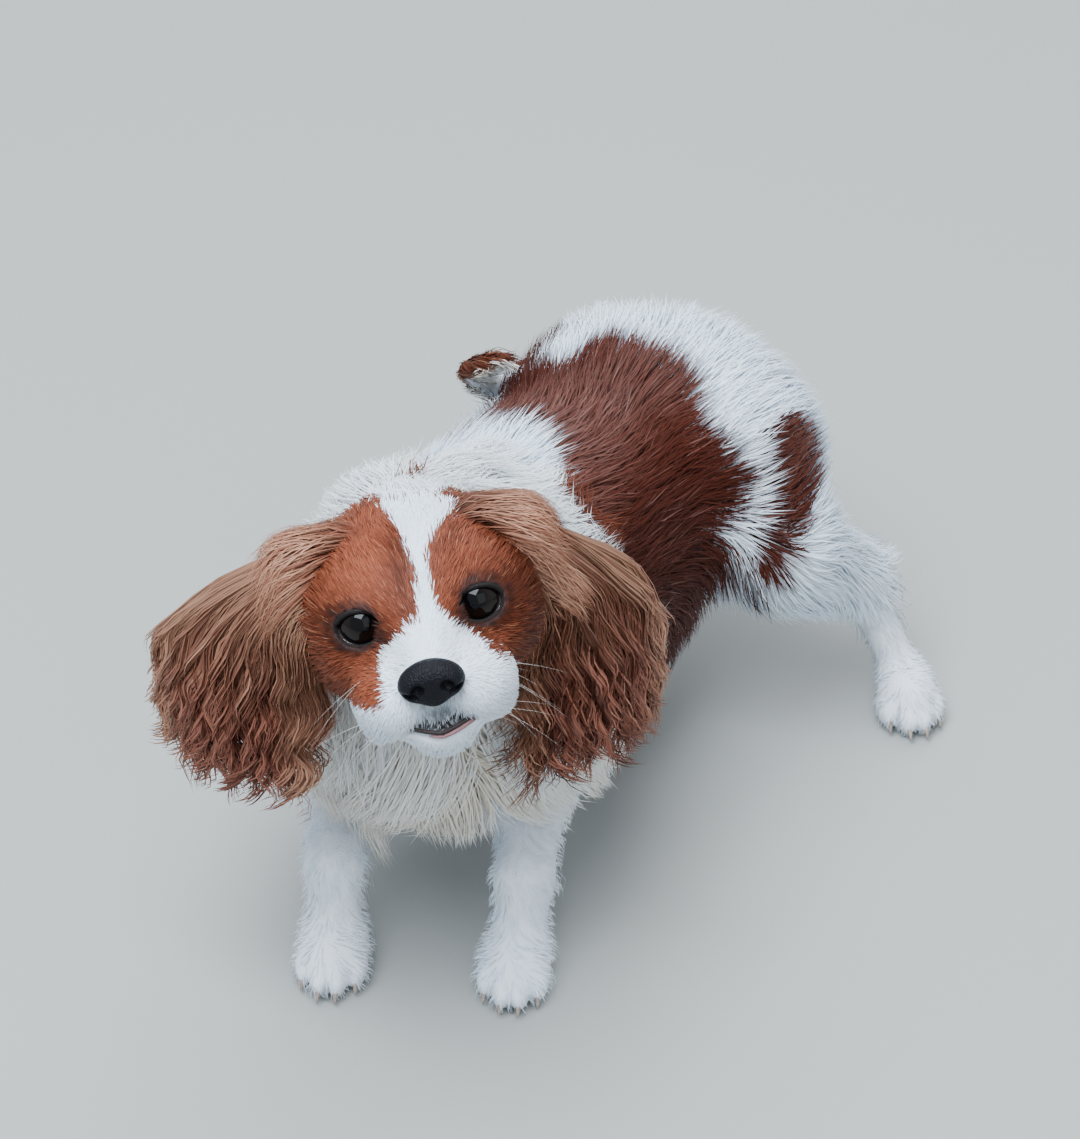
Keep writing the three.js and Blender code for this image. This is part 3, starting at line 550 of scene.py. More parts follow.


# the Snow of every white coat is tinted blue for the skylight on it: painted light; the Cream of the body and
# face is a darker blue copy of it, the painted shade of white hair
coatTones = {
    "body": {
        # the body's mauve Golden serves both stray golden hairs and the painted sheen of the sky along the
        # top of the back
        "Deep": (0.026, 0.005, 0.003, 1), "Warm": (0.078, 0.016, 0.008, 1), "Golden": (0.24, 0.12, 0.10, 1),
        "Snow": (0.74, 0.87, 1.0, 1), "Cream": (0.68, 0.73, 0.78, 1),
    },
    "face": {
        "Deep": (0.070, 0.015, 0.006, 1), "Warm": (0.275, 0.074, 0.037, 1), "Golden": (0.40, 0.18, 0.10, 1),
        "Snow": (0.76, 0.89, 1.0, 1), "Cream": (0.72, 0.77, 0.84, 1),
    },
    # crown and ears have no white hairs
    "crown": {
        "Deep": (0.055, 0.015, 0.009, 1), "Warm": (0.300, 0.092, 0.052, 1), "Golden": (0.46, 0.25, 0.165, 1),
    },
    "ear": {
        "Deep": (0.050, 0.015, 0.011, 1), "Warm": (0.345, 0.128, 0.084, 1), "Golden": (0.47, 0.25, 0.16, 1),
    },
    "ruff": {
        "Deep": (0.03, 0.008, 0.005, 1), "Warm": (0.12, 0.03, 0.015, 1), "Golden": (0.40, 0.22, 0.12, 1),
        "Snow": (0.80, 0.85, 0.89, 1), "Cream": (0.68, 0.59, 0.46, 1),
    },
}


def hairMaterial(name, tones, streaked=True, furBump=False):
    material, tree, shader = newMaterial(name, Roughness=0.5, Specular_IOR_Level=0.12)
    labels = ("white", "gold", "dark", "tone", "along")
    given = {label.capitalize(): attribute(tree, label) for label in labels}
    if streaked:
        streak = placeGroup(tree, "tuftStreak", Across=attribute(tree, "across"), Along=given["Along"],
                            Seed=attribute(tree, "seed"))
        given["Streak"] = streak.outputs["Streak"]
    colour = placeGroup(tree, "coatColour", **given, **coatTones[tones])
    feed(tree, shader.inputs["Base Color"], colour.outputs["Colour"])
    if furBump:  # short dense fur under the locks
        grain = placeGroup(tree, "fineGrain", Scale=1400.0, Cells=0.6)
        addBump(tree, shader, grain.outputs["Height"], 0.5, 0.0006)
    return material


# Meshes from arrays

def setValues(mesh, label, values):
    values = np.broadcast_to(np.ravel(values).astype(np.float32), len(mesh.vertices))
    mesh.attributes.new(label, "FLOAT", "POINT").data.foreach_set("value", np.ascontiguousarray(values))


def newMesh(name, points, faces, material, attributes=None, normals=None):
    mesh = bpy.data.meshes.new(name)
    mesh.vertices.add(len(points))
    mesh.vertices.foreach_set("co", toMetres(points).astype(np.float32).ravel())
    mesh.loops.add(faces.size)
    mesh.loops.foreach_set("vertex_index", faces.astype(np.int32).ravel())
    mesh.polygons.add(len(faces))
    mesh.polygons.foreach_set("loop_start", np.arange(len(faces), dtype=np.int32) * faces.shape[1])
    mesh.polygons.foreach_set("use_smooth", np.full(len(faces), True))
    for label, values in (attributes or {}).items():
        setValues(mesh, label, values)
    mesh.update(calc_edges=True)
    mesh.materials.append(material)
    if normals is not None:
        mesh.normals_split_custom_set(normals.tolist())
    return addObject(name, mesh)


def finish(obj, slot, *replaced):
    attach(obj, "root")
    if replaced:
        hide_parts(*replaced)
    return obj


def sampled(form, lines, reach, coarse=5):
    # the form's values at the points of a grid, worked out one by one only near its surface
    count = [len(g) for g in lines]
    picks = [np.unique(np.append(np.arange(0, n, coarse), n - 1)) for n in count]
    spots = np.stack(np.meshgrid(*[g[p] for g, p in zip(lines, picks)], indexing="ij"), -1)
    rough = form(spots.reshape(-1, 3)).reshape([len(p) for p in picks])
    nearest = [np.clip((np.arange(n) + coarse // 2) // coarse, 0, len(p) - 1) for n, p in zip(count, picks)]
    value = rough[np.ix_(*nearest)].copy()
    widest = max(np.diff(g).max() for g in lines) * coarse
    near = np.argwhere(np.abs(value) < widest + reach)
    for part in np.array_split(near, max(1, len(near) // 300000)):
        value[tuple(part.T)] = form(np.stack([g[i] for g, i in zip(lines, part.T)], 1))
    return value


def surfaceNet(form, *lines, reach=9.0):
    # a closed surface of four-sided faces round a form, one corner in each cell that it crosses
    count = [len(g) for g in lines]
    value = sampled(form, lines, reach)
    inside = value < 0
    corners = [np.array((i, j, k)) for i in (0, 1) for j in (0, 1) for k in (0, 1)]
    total = sum(
        inside[tuple(slice(c, c + n - 1) for c, n in zip(corner, count))].astype(int) for corner in corners)
    active = (total > 0) & (total < 8)
    number = np.full(active.shape, -1)
    cells = np.argwhere(active)
    number[active] = np.arange(len(cells))
    place = np.zeros((len(cells), 3))
    hits = np.zeros(len(cells))
    for a in corners:
        for step in np.eye(3, dtype=int):
            if (a * step).any():
                continue
            start, end = cells + a, cells + a + step
            u, w = value[tuple(start.T)], value[tuple(end.T)]
            crossed = (u < 0) != (w < 0)
            share = np.where(crossed, u / np.where(crossed, u - w, 1), 0)
            p = np.stack([g[i] for g, i in zip(lines, start.T)], 1)
            q = np.stack([g[i] for g, i in zip(lines, end.T)], 1)
            place += np.where(crossed[:, None], p + (q - p) * share[:, None], 0)
            hits += crossed
    place /= hits[:, None]
    quads = []
    for axis in range(3):
        u, w = np.eye(3, dtype=int)[(axis + 1) % 3], np.eye(3, dtype=int)[(axis + 2) % 3]
        keep = [slice(0, n - 1) if a == axis else slice(1, n - 1) for a, n in enumerate(count)]
        ahead = [slice(1, n) if a == axis else slice(1, n - 1) for a, n in enumerate(count)]
        base = np.argwhere(inside[tuple(keep)] != inside[tuple(ahead)])
        outward = inside[tuple(keep)][tuple(base.T)]
        base[:, [a for a in range(3) if a != axis]] += 1
        quad = np.stack([number[tuple((base - shift).T)] for shift in (u + w, w, 0 * u, u)], 1)
        quad[~outward] = quad[~outward][:, ::-1]
        quads.append(quad)
    return place, np.concatenate(quads)


def gridLines(low, high, coarse, fineLow, fineHigh, fine):
    before, after = np.arange(low, fineLow, coarse), np.arange(fineHigh, high + coarse, coarse)
    return np.concatenate([before, np.arange(fineLow, fineHigh, fine), after])


# Markings: white against chestnut, with dark hairs, at points of the body

marks = {
    "blaze": {"middle": 5.0, "between": 2.3, "top": 15, "end": 7, "band": 17, "sides": 38},
    "muzzle": {
        "left": 4, "leftFrom": 9, "leftCheek": -42, "right": 3, "rightLip": -22.5, "rightCheek": -44,
        "back": -34,
    },
    "collar": {"back": -14, "left": -48, "right": -36},
    "rump": {"top": 78, "side": 62, "low": 46},
    "hip": {"at": vec(78, 90, 150), "radius": 21, "to": vec(90, 47, 110), "thin": 11},
    "nape": {"at": vec(-6, -98, 223), "radius": 9},
    "legs": 62,
    "blur": 3.0,
}


def ripple(points, scale, seed=0.0):
    x, y, z = (points / scale).T
    return (np.sin(x * 1.7 + y * 0.9 + seed) + np.sin(y * 2.3 - z * 1.3 + 1.7 * seed) +
            np.sin(z * 1.9 + x * 1.1 - seed)) / 3


def edge(distance, blur=marks["blur"]):
    # one well inside a patch and nought well outside it
    return ramp(-distance, -blur, blur)


def eyeRing(points, side, extra):
    q = (toFace(points) - eyeMiddle(side)) @ eyeFrame(side)
    return np.hypot(q[:, 0] / (eye["wide"] / 2 + extra), q[:, 2] / (eye["high"] / 2 + extra)), q


def headWhite(points):
    x, y, z = toFace(points).T
    blaze = marks["blaze"]
    wobble = ripple(points, 7.0, 2.0) * 1.2
    muzzle = marks["muzzle"]
    halfWidth = mix(blaze["between"], blaze["top"], ramp(y, -48, 6))
    middle = blaze["middle"] + 3 * ramp(y, -42, -8)
    stripe = np.maximum(np.abs(x - middle) - halfWidth, y - blaze["end"]) + wobble
    behindEdge = 0.4 * (y + 62)
    leftEdge = mix(muzzle["left"] - (x - muzzle["leftFrom"]), muzzle["leftCheek"], ramp(x, 35, 41))
    rightEdge = mix(muzzle["right"] - 0.45 * np.abs(x), muzzle["rightLip"], ramp(-x, 16.5, 21))
    rightEdge = mix(rightEdge, muzzle["rightCheek"], ramp(-x, 38, 46))
    patch = z - np.where(x > 0, leftEdge, rightEdge) + np.maximum(behindEdge, 0) * ramp(np.abs(x), 4, 12)
    patch = np.where(y < muzzle["back"], patch, np.maximum(patch, z + 40)) + wobble
    band = mix(blaze["band"], blaze["sides"], ramp(np.abs(x - blaze["middle"]), 11, 17))
    behind = band - y - 0.25 * z + wobble * 2
    return np.maximum(np.maximum(edge(stripe, 1.8), edge(patch, 2.2)), edge(behind))


def trunkWhite(points):
    x, y, z = points.T
    collar, rump, hip = marks["collar"], marks["rump"], marks["hip"]
    wobble = ripple(points, 13.0) * 4
    side = mix(collar["right"], collar["left"], ramp(x, -60, 40))
    collarEdge = mix(collar["back"], side, ramp(np.abs(x + 12), 10, 55)) + 8 * ramp(160 - z, 0, 40)
    front = y - collarEdge + wobble
    rumpEdge = mix(rump["top"] + 10 * ramp(-x, -22, 6), rump["side"], ramp(np.abs(x), 24, 42))
    rumpEdge = mix(rumpEdge, rump["low"], ramp(150 - z, 0, 25))
    rear = rumpEdge - y + wobble * 1.5
    patch = soft(distance(points, hip["at"]) - hip["radius"],
                 limb(hip["at"], hip["to"], hip["thin"] + 1, hip["thin"])(points), 6) + wobble * 0.6
    mirrored = points * vec(-1, 1, 1) + vec(0, 12, 0)
    patch = np.minimum(patch, distance(mirrored, hip["at"]) - hip["radius"] * 1.2 + wobble)
    nape = distance(points, marks["nape"]["at"]) - marks["nape"]["radius"]
    legs = z - marks["legs"] + wobble
    white = np.maximum(np.maximum(edge(front), edge(rear)), edge(legs) * (np.abs(y) > 70))
    white = np.minimum(np.minimum(white, 1 - edge(patch)), 1 - edge(nape))
    q = toFace(points)
    onSkull = edge(plainHeadForm(points) - 14, 4) * edge(q[:, 1] - 40, 5) * ramp(q[:, 2], -8, 4)
    return mix(white, headWhite(points), onSkull)


def faceDark(points):
    # near black at the lid edges, the inner corners, the lips and below the nose
    q = toFace(points)
    x, y, z = q.T
    dark = np.zeros(len(points))
    for side in (1, -1):
        ring, local = eyeRing(points, side, 0)
        rim = hill((ring - 1.08) / (0.13 + 0.07 * ramp(local[:, 2], -2, 6)))
        corner = hill((local[:, 0] * side + 11.5) / 3.0, (local[:, 2] + 3.5) / 3.5)
        dark = np.maximum(dark, np.maximum(rim, corner * 0.8) * (local[:, 1] < 3))
    above = z - mouth["up"] - mouth["rise"] * np.abs(x) / mouth["half"]
    lip = edge(mouthGroove(q) - 3.4, 2.0) * ramp(x, -20, -6) * ramp(-x, -24, -14) * ramp(above, -0.6, 1.2)
    philtrum = hill((x - 1) / 10, (z + 33) / 6) * ramp(-y, 62, 68) * ramp(above, -0.5, 1.5)
    bed = edge(np.hypot(x / 1.3, z - nose["at"][2]) - 10.2, 1.5) * ramp(-y, 74, 79) * ramp(-z, 14, 20)
    return np.clip(dark + lip * 0.85 + philtrum * 0.7 + bed, 0, 1)


def faceToneAndPaintedLight(points):
    # the face's tone: lighter cheeks, darker beside the blaze and at the rear of the cheeks, painted
    # highlights on the brows, and painted shade round the eyes, at their inner corners and over the head's
    # left side
    x, y, z = toFace(points).T
    shade = 0.60 + 0.15 * ripple(points, 11.0, 4.0) + 0.05 * ripple(points, 4.5, 2.0)
    # darker beside the blaze; painted shade over the left side of the head
    shade -= 0.45 * hill((x + 3.5) / 5, (y + 38) / 22) + 0.24 * ramp(x, 4, 22)
    shade -= 0.35 * hill((np.abs(x) - 43) / 10, (z + 12) / 24)
    for side in (1, -1):
        ring, local = eyeRing(points, side, 0)
        # painted shade round each eye and at its inner corner
        shade -= 0.40 * hill((ring - 1.1) / 0.42) * (local[:, 1] < 6)
        shade -= 0.35 * hill((local[:, 0] * side + 14) / 5, (local[:, 2] + 5) / 7)
        # painted highlight on the brow above each eye
        shade += 0.14 * hill(local[:, 0] / 12, (local[:, 2] - 17) / 5.5)
        shade += 0.12 * hill((x - side * 30) / 10, (z + 12) / 10)
    return shade


def bodyToneAndPaintedLight(points):
    # a tone that varies at random and is lighter on the hip patch, with painted light along the top of the
    # back, where the sky falls on it
    hip = hill(distance(points, marks["hip"]["at"]) / 28)
    return 0.40 + 0.22 * ripple(points, 22.0, 4.0) + 0.28 * ramp(points[:, 2], 150, 190) + 0.6 * hip


def tailShare(points):
    return edge(tailForm(points) - 6, 3) * ramp(-points[:, 0], 42, 58) * ramp(points[:, 1], 45, 52)


def headShare(points):
    return edge(plainHeadForm(points) - 6, 3) * edge(58 - (points - neckFrom) @ neckAxis, 6)


# Skin

skinCells = {"body": 3.4, "head": 1.6} if fullCoat else {"body": 5.0, "head": 2.6}
skinGrid = {
    "low": (-134, -240, -6), "high": (136, 172, 288), "headTop": 276,
    "headLow": (-50, -95, -52), "headHigh": (50, 45, 38),
}
aboveFloor = {"skin": 0.4, "hair": 0.6}


def unwrap(obj):
    bpy.context.view_layer.objects.active = obj
    obj.select_set(True)
    obj.data.uv_layers.new(name="OFBake")
    bpy.ops.object.mode_set(mode="EDIT")
    bpy.ops.mesh.select_all(action="SELECT")
    bpy.ops.uv.smart_project(angle_limit=math.radians(66), island_margin=0.002)
    bpy.ops.object.mode_set(mode="OBJECT")
    obj.select_set(False)
    uv = np.empty(len(obj.data.loops) * 2, np.float32)
    obj.data.uv_layers["OFBake"].data.foreach_get("uv", uv)
    return uv.reshape(-1, 4, 2)


def makeSkin():
    ends = zip(skinGrid["headLow"], skinGrid["headHigh"])
    corner = np.array([face(*spot) for spot in itertools.product(*ends)])
    low, high = corner.min(0), corner.max(0)
    high[2] = skinGrid["headTop"]
    spans = zip(skinGrid["low"], skinGrid["high"], low, high)
    grids = [gridLines(a, b, skinCells["body"], c, d, skinCells["head"]) for a, b, c, d in spans]
    points, quads = surfaceNet(fleshForm, *grids)
    points[:, 2] = np.maximum(points[:, 2], aboveFloor["skin"])
    onHead = headShare(points)
    normal = slopeOf(smoothForm, points)
    depth = coatDepth(points)[:, None]
    seen = points + (normal * 0.6 + alongSkin(trunkLie(points), normal) * 0.9) * depth  # where its hair ends
    white = mix(trunkWhite(seen), headWhite(points), onHead)
    white = mix(white, ramp(normal @ tailCoat["inner"], 0.0, 0.3), tailShare(points))
    # painted shade deep in the coat: the skin is made darker than the hair above it and coloured as the
    # hairs' roots (along 0.3)
    shade = mix(bodyToneAndPaintedLight(points) - 0.2, faceToneAndPaintedLight(points) - 0.1, onHead)
    skin = newMesh("skin", points, quads, hairMaterial("shortFur", "face", streaked=False, furBump=True), {
        "white": white, "dark": faceDark(points) * onHead, "tone": shade, "gold": 0.0, "along": 0.3})
    finish(skin, "coat_white", "head", "neck", "torso", "leg_front_left", "leg_front_right",
           "leg_hind_left", "leg_hind_right", "tail_root", "tail_tip")
    print("skin", len(quads), "faces")
    return points, quads, unwrap(skin)


# The lie and the depth of the coat

def alongSkin(flow, normal):
    return unit(flow - normal * (flow * normal).sum(1, keepdims=True))


def trunkLie(points):
    low = np.maximum(ramp(150 - points[:, 2], 0, 60), ramp(points[:, 1], 70, 135))[:, None]
    flow = mix(vec(0, 1, -0.1), vec(0, 0.35, -1), low)
    upNeck = ((points - neckFrom) @ neckAxis)[:, None]
    forward = ((points - pose["chestAt"]) @ chestForward)[:, None]
    flow = mix(flow, unit(down - neckAxis * 0.7), np.maximum(ramp(upNeck, -25, 25), ramp(forward, 0, 30)))
    legs = ramp(75 - points[:, 2], 0, 25)[:, None]
    return unit(mix(flow, vec(0, 0.35, -1), legs))


def headLie(points):
    q = toFace(points)
    flow = unit(q - vec(0, -88, -18))
    flow = flow + vec(0, 0.35, 0) + vec(0, 0, -0.6) * ramp(-q[:, 2], -10, 20)[:, None]
    outward = ramp(np.abs(q[:, 0]), 14, 34)[:, None] * ramp(q[:, 1], -34, -8)[:, None]
    flow = mix(flow, vec(0, 0.2, -0.5) + np.sign(q[:, :1]) * vec(1, 0, 0), outward * 0.6)
    return unit(flow) @ headTurn.T


def bodyLie(points):
    onHead = edge(plainHeadForm(points) - 8, 6)[:, None]
    return unit(mix(trunkLie(points), headLie(points), onHead))


def crownLie(points):
    # the hair of the crown sweeps out over the roots of the ears and falls beyond them
    q = toFace(points)
    side = np.sign(q[:, 0])
    over = ramp(np.abs(q[:, 0]), 34, 66)
    flow = np.stack([side * mix(1.0, 0.45, over), mix(0.05, 0.0, over), mix(-0.25, -1.0, over)], 1)
    return unit(flow) @ headTurn.T


earMiddles = {}  # points on each ear that the coat below it keeps clear of


def depthUnderEars(points, depth):
    for middle in earMiddles.values():
        away = np.full(len(points), 1e3)
        for p in middle:
            away = np.minimum(away, distance(points, p))
        depth = np.minimum(depth, np.maximum(away - 9, 2.5))
    return depth


# each takes the points and the skin's normals there, which only the legs' feathering needs

def faceDepth(points, normals):
    q = toFace(points)
    chin = ramp(-q[:, 2], 43, 50) * 4.5
    flews = ramp(np.abs(q[:, 0]), 17, 24) * ramp(-q[:, 2], 28, 38) * (2.4 + 2.6 * ramp(-q[:, 0], -5, 5))
    cheeks = ramp(np.abs(q[:, 0]), 33, 42) * ramp(q[:, 1], -40, -25) * 3.0
    return mix(1.2, 3.0, ramp(q[:, 1], -62, -10)) + np.maximum(chin, flews) + cheeks


def legDepth(points, normals):
    # feathering down the backs of the legs
    rear = ramp(normals @ vec(0, 1, 0), 0.15, 0.8) * ramp(points[:, 2], 24, 46)
    short = np.where(points[:, 1] > 0, 2.4, 3.6)
    return mix(short, 13, rear)


def evenDepth(depth):
    def depthAt(points, normals):
        return np.full(len(points), depth)
    return depthAt


def plumeLie(points):
    return unit(vec(0, 1, -0.5) + np.sign(points[:, :1]) * vec(0.5, 0, 0))


def longDepth(points, normals):
    under = 3 * ramp(108 - points[:, 2], 0, 30) * ramp(points[:, 1], -60, -30) * ramp(-points[:, 1], -55, -30)
    rump = 4 * ramp(points[:, 1], 62, 100) * ramp(points[:, 2], 120, 145)
    return depthUnderEars(points, coatDepth(points) + under + rump)


def trunkDepth(points, normals):
    # shorter below the chest
    under = ramp(132 - points[:, 2], 0, 25) * ramp(-points[:, 1], 0, 30)
    return longDepth(points, normals) * mix(1.0, 0.35, under)


def ruffDepth(points, normals):
    return longDepth(points, normals) * mix(1.0, 0.6, ramp(150 - points[:, 2], 0, 35))


def ruffLie(points):
    # on the right of the chest the ruff falls in one large curl towards the middle
    low = ramp(185 - points[:, 2], 5, 50)
    inward = (low * ramp(-points[:, 0], -12, 22))[:, None] * vec(1.6, 0, 0.3)
    outward = (low * ramp(points[:, 0], 25, 55))[:, None] * vec(0.45, 0, 0)
    return unit(bodyLie(points) + inward + outward)


# length and lowest are shares of the coat's depth; swirl, sunk, loose, wave and width are millimetres;
# sway, stray and curl are radians
anyCoat = {
    "pieces": 1, "steps": 2, "lowest": 0.35, "swirl": 16, "stray": 0.16, "lift": 0.12, "sunk": 1.0,
    "follow": 0.6, "inLock": 16, "gather": 0.34, "loose": 1.2, "flat": 0.4, "slot": "coat_chestnut",
    "lieAt": trunkLie,
}
coats = {
    "coat_body": {
        **anyCoat, "count": 28000, "pieces": 2, "length": (1.5, 2.6), "swirl": 34, "sway": 0.5, "wave": 2.2,
        "curl": 3.0, "width": 0.74, "soft": 0.9, "tones": "body", "depthAt": trunkDepth,
    },
    "coat_ruff": {
        **anyCoat, "count": 14000, "pieces": 2, "steps": 4, "length": (2.0, 3.2), "lowest": 0.4, "swirl": 34,
        "sway": 0.8, "stray": 0.10, "lift": 0.05, "inLock": 90, "gather": 0.8, "loose": 2.4, "wave": 9.0,
        "curl": 3.6, "width": 0.72, "soft": 0.92, "flat": 0.3, "tones": "ruff", "slot": "coat_white",
        "depthAt": ruffDepth, "lieAt": ruffLie,
    },
    "coat_legs": {
        **anyCoat, "count": 10500, "length": (1.6, 2.4), "lowest": 0.3, "swirl": 20, "sway": 0.3,
        "stray": 0.14, "lift": 0.08, "sunk": 0.6, "follow": 0.5, "inLock": 8, "gather": 0.15, "loose": 0.5,
        "wave": 0.5, "curl": 2.0, "width": 0.65, "soft": 0.86, "flat": 0.5, "tones": "body",
        "slot": "coat_white", "depthAt": legDepth,
    },
    "coat_face": {
        **anyCoat, "count": 27000, "pieces": 2, "length": (2.2, 3.1), "swirl": 14, "sway": 0.24,
        "stray": 0.13, "lift": 0.10, "sunk": 0.4, "follow": 0.5, "inLock": 10, "gather": 0.16, "loose": 0.35,
        "wave": 0.25, "curl": 2.0, "width": 0.44, "soft": 0.72, "flat": 0.6, "tones": "face",
        "depthAt": faceDepth, "lieAt": headLie,
    },
    "coat_crown": {
        **anyCoat, "count": 4600, "steps": 4, "length": (3.6, 7.2), "lowest": 0.15, "sway": 0.3, "sunk": 0.6,
        "wave": 2.4, "curl": 4.5, "width": 0.6, "soft": 0.84, "flat": 0.45, "tones": "crown",
        "depthAt": evenDepth(7.0), "lieAt": crownLie,
    },
    "coat_plume": {
        **anyCoat, "count": 900, "steps": 5, "length": (1.2, 2.4), "lowest": 0.5, "sway": 0.7, "stray": 0.2,
        "lift": 0.75, "follow": 0.2, "inLock": 24, "gather": 0.7, "loose": 1.6, "wave": 6.0, "curl": 5.0,
        "width": 0.8, "soft": 0.6, "tones": "body", "slot": "coat_white", "depthAt": evenDepth(15.0),
        "lieAt": plumeLie,
    },
}


def zones(points):
    # shares of the skin that each coat grows on
    q = toFace(points)
    upNeck = (points - neckFrom) @ neckAxis
    forward = (points - pose["chestAt"]) @ chestForward
    onHead = edge(plainHeadForm(points) - 4, 4) * ramp(upNeck, 40, 60)
    low = ramp(mix(62, 100, ramp(-points[:, 1], 20, 50)) - points[:, 2], 0, 10)
    ruff = np.maximum(ramp(forward, -12, 12), ramp(upNeck, -8, 16)) * (1 - low) * (1 - onHead)
    clear = np.ones(len(points))
    for side in (1, -1):
        ring, local = eyeRing(points, side, 1.0)
        clear *= 1 - ((ring < 1) & (local[:, 1] < 4))
    clear *= (mouthGroove(q) > mix(1.9, 1.0, ramp(np.abs(q[:, 0] - 4), 12, 24))) | (np.abs(q[:, 0]) > 26)
    pad = vec(nose["wide"] / 2 + 0.5, 13, nose["high"] / 2 + 0.5)
    clear *= np.linalg.norm((q - nose["at"]) / pad, axis=1) > 1
    finer = 1 + 1.2 * ramp(-q[:, 1], 30, 60)
    wide = np.abs(q[:, 0])
    crown = ramp(wide, 17, 27) * ramp(q[:, 1], -15, -2) * ramp(-q[:, 1], -28, -16) * ramp(q[:, 2], 6, 14)
    normal = slopeOf(smoothForm, points)
    wide, back, up = np.abs(points[:, 0]), points[:, 1], points[:, 2]
    behind = ramp(normal @ vec(0, 1, 0), 0.3, 0.7) * ramp(up, 44, 60) * ramp(-up, -150, -130)
    behind = behind * ramp(wide, 44, 58) * ramp(back, 60, 80)
    body = (1 - ruff) * (1 - low) * (1 - onHead) * (1 - tailShare(points))
    return {
        "coat_face": onHead * clear * finer, "coat_ruff": ruff, "coat_legs": low, "coat_body": body,
        "coat_crown": onHead * crown, "coat_plume": behind,
    }


# Tufts: closed, flattened, tapering, walking over the skin along the lie of the coat

def scatter(points, quads, uv, weight, count):
    # roots spread over the faces by area and weight, with their places on the unwrap
    a, b, c, d = (points[quads[:, n]] for n in range(4))
    chance = np.linalg.norm(np.cross(c - a, d - b), axis=1) * weight
    picked = draws.choice(len(quads), int(count * coatShare), p=chance / chance.sum())
    u, w = draws.random((2, len(picked), 1))

    def blend(corners):
        return mix(mix(corners[:, 0], corners[:, 1], u), mix(corners[:, 3], corners[:, 2], u), w)
    return blend(points[quads[picked]]), blend(uv[picked])


def growHair(roots, recipe, form):
    count, steps = len(roots), recipe["steps"]
    normal = slopeOf(smoothForm, roots)
    depth = recipe["depthAt"](roots, normal)
    length = depth * draws.uniform(*recipe["length"], count)
    layer = depth * draws.uniform(recipe["lowest"], 1.0, count)
    lie = alongSkin(recipe["lieAt"](roots), normal)
    swirl = ripple(roots, recipe["swirl"], 1.0) + 0.5 * ripple(roots, recipe["swirl"] * 0.4, 5.0)
    sway = (recipe["sway"] * swirl + draws.normal(0, recipe["stray"], count))[:, None]
    heading = unit(lie * np.cos(sway) + np.cross(normal, lie) * np.sin(sway) + normal * recipe["lift"])
    p = roots - normal * recipe["sunk"]
    paths, ups = [p], [normal]
    stride = (length + recipe["sunk"]) / steps
    for step in range(1, steps + 1):
        p = p + heading * stride[:, None]
        up = slopeOf(form, p)
        want = layer * min(1.0, 0.35 + 0.65 * step / steps)
        shift = np.clip(want - form(p), -0.35 * stride, stride)
        p = p + up * shift[:, None]
        p[:, 2] = np.maximum(p[:, 2], aboveFloor["hair"] + 0.2 * draws.random(count))
        flow = alongSkin(recipe["lieAt"](p), up)
        flow = flow * np.cos(sway) + np.cross(up, flow) * np.sin(sway)
        heading = unit(mix(heading, flow, recipe["follow"]) + up * recipe["lift"] * 0.3)
        paths.append(p)
        ups.append(up)
    return np.stack(paths, 1), np.stack(ups, 1)


def clump(paths, ups, recipe):
    # tufts lean to the middle of their lock and wave with it
    count, steps = len(paths), paths.shape[1] - 1
    locks = max(4, int(count / recipe["inLock"]))
    heads = draws.choice(count, locks, replace=False)
    tree = KDTree(locks)
    for n, head in enumerate(heads):
        tree.insert(paths[head, 0], n)
    tree.balance()
    mine = np.array([tree.find(p)[1] for p in paths[:, 0]])
    lead = paths[heads[mine]]
    t = np.linspace(0, 1, steps + 1)
    pull = (recipe["gather"] * t ** 1.2 * draws.uniform(0.5, 1.0, (count, 1)))[:, :, None]
    loose = draws.normal(0, recipe["loose"], (count, 1, 3)) * t[None, :, None]
    paths = mix(paths, lead + loose, pull)
    phase = draws.uniform(0, 6.3, locks)[mine] + draws.normal(0, 0.4, count)
    swing = draws.uniform(0.4, 1.3, locks)[mine] * recipe["wave"]
    heading = unit(np.diff(paths, axis=1, append=paths[:, -1:] * 2 - paths[:, -2:-1]))
    turning = phase[:, None] + t * recipe["curl"]
    bend = (swing[:, None] * t ** 0.8 * (np.sin(turning) - np.sin(phase)[:, None] * (1 - t)))[:, :, None]
    paths = paths + np.cross(heading, ups) * bend + ups * np.abs(bend) * 0.3
    paths[:, :, 2] = np.maximum(paths[:, :, 2], aboveFloor["hair"])
    return paths, draws.uniform(-1, 1, locks)[mine]


tuft = {"root": 0.7, "swell": 1.5, "taper": 0.75, "arch": 0.6, "patch": 0.0015}


def tuftFaces(rings):
    # three-sided faces of one tuft, and which of them lie below it
    faces, below, tip = [[2, 1, 0]], [1], rings * 3
    for a in range(0, tip, 3):
        for i, j in ((0, 1), (1, 2), (2, 0)):
            added = [[a + i, a + j, tip]]
            if a + 3 < tip:
                added = [[a + i, a + j, a + j + 3], [a + i, a + j + 3, a + i + 3]]
            faces += added
            below += [int(j == 0)] * len(added)
    return np.array(faces), np.array(below)


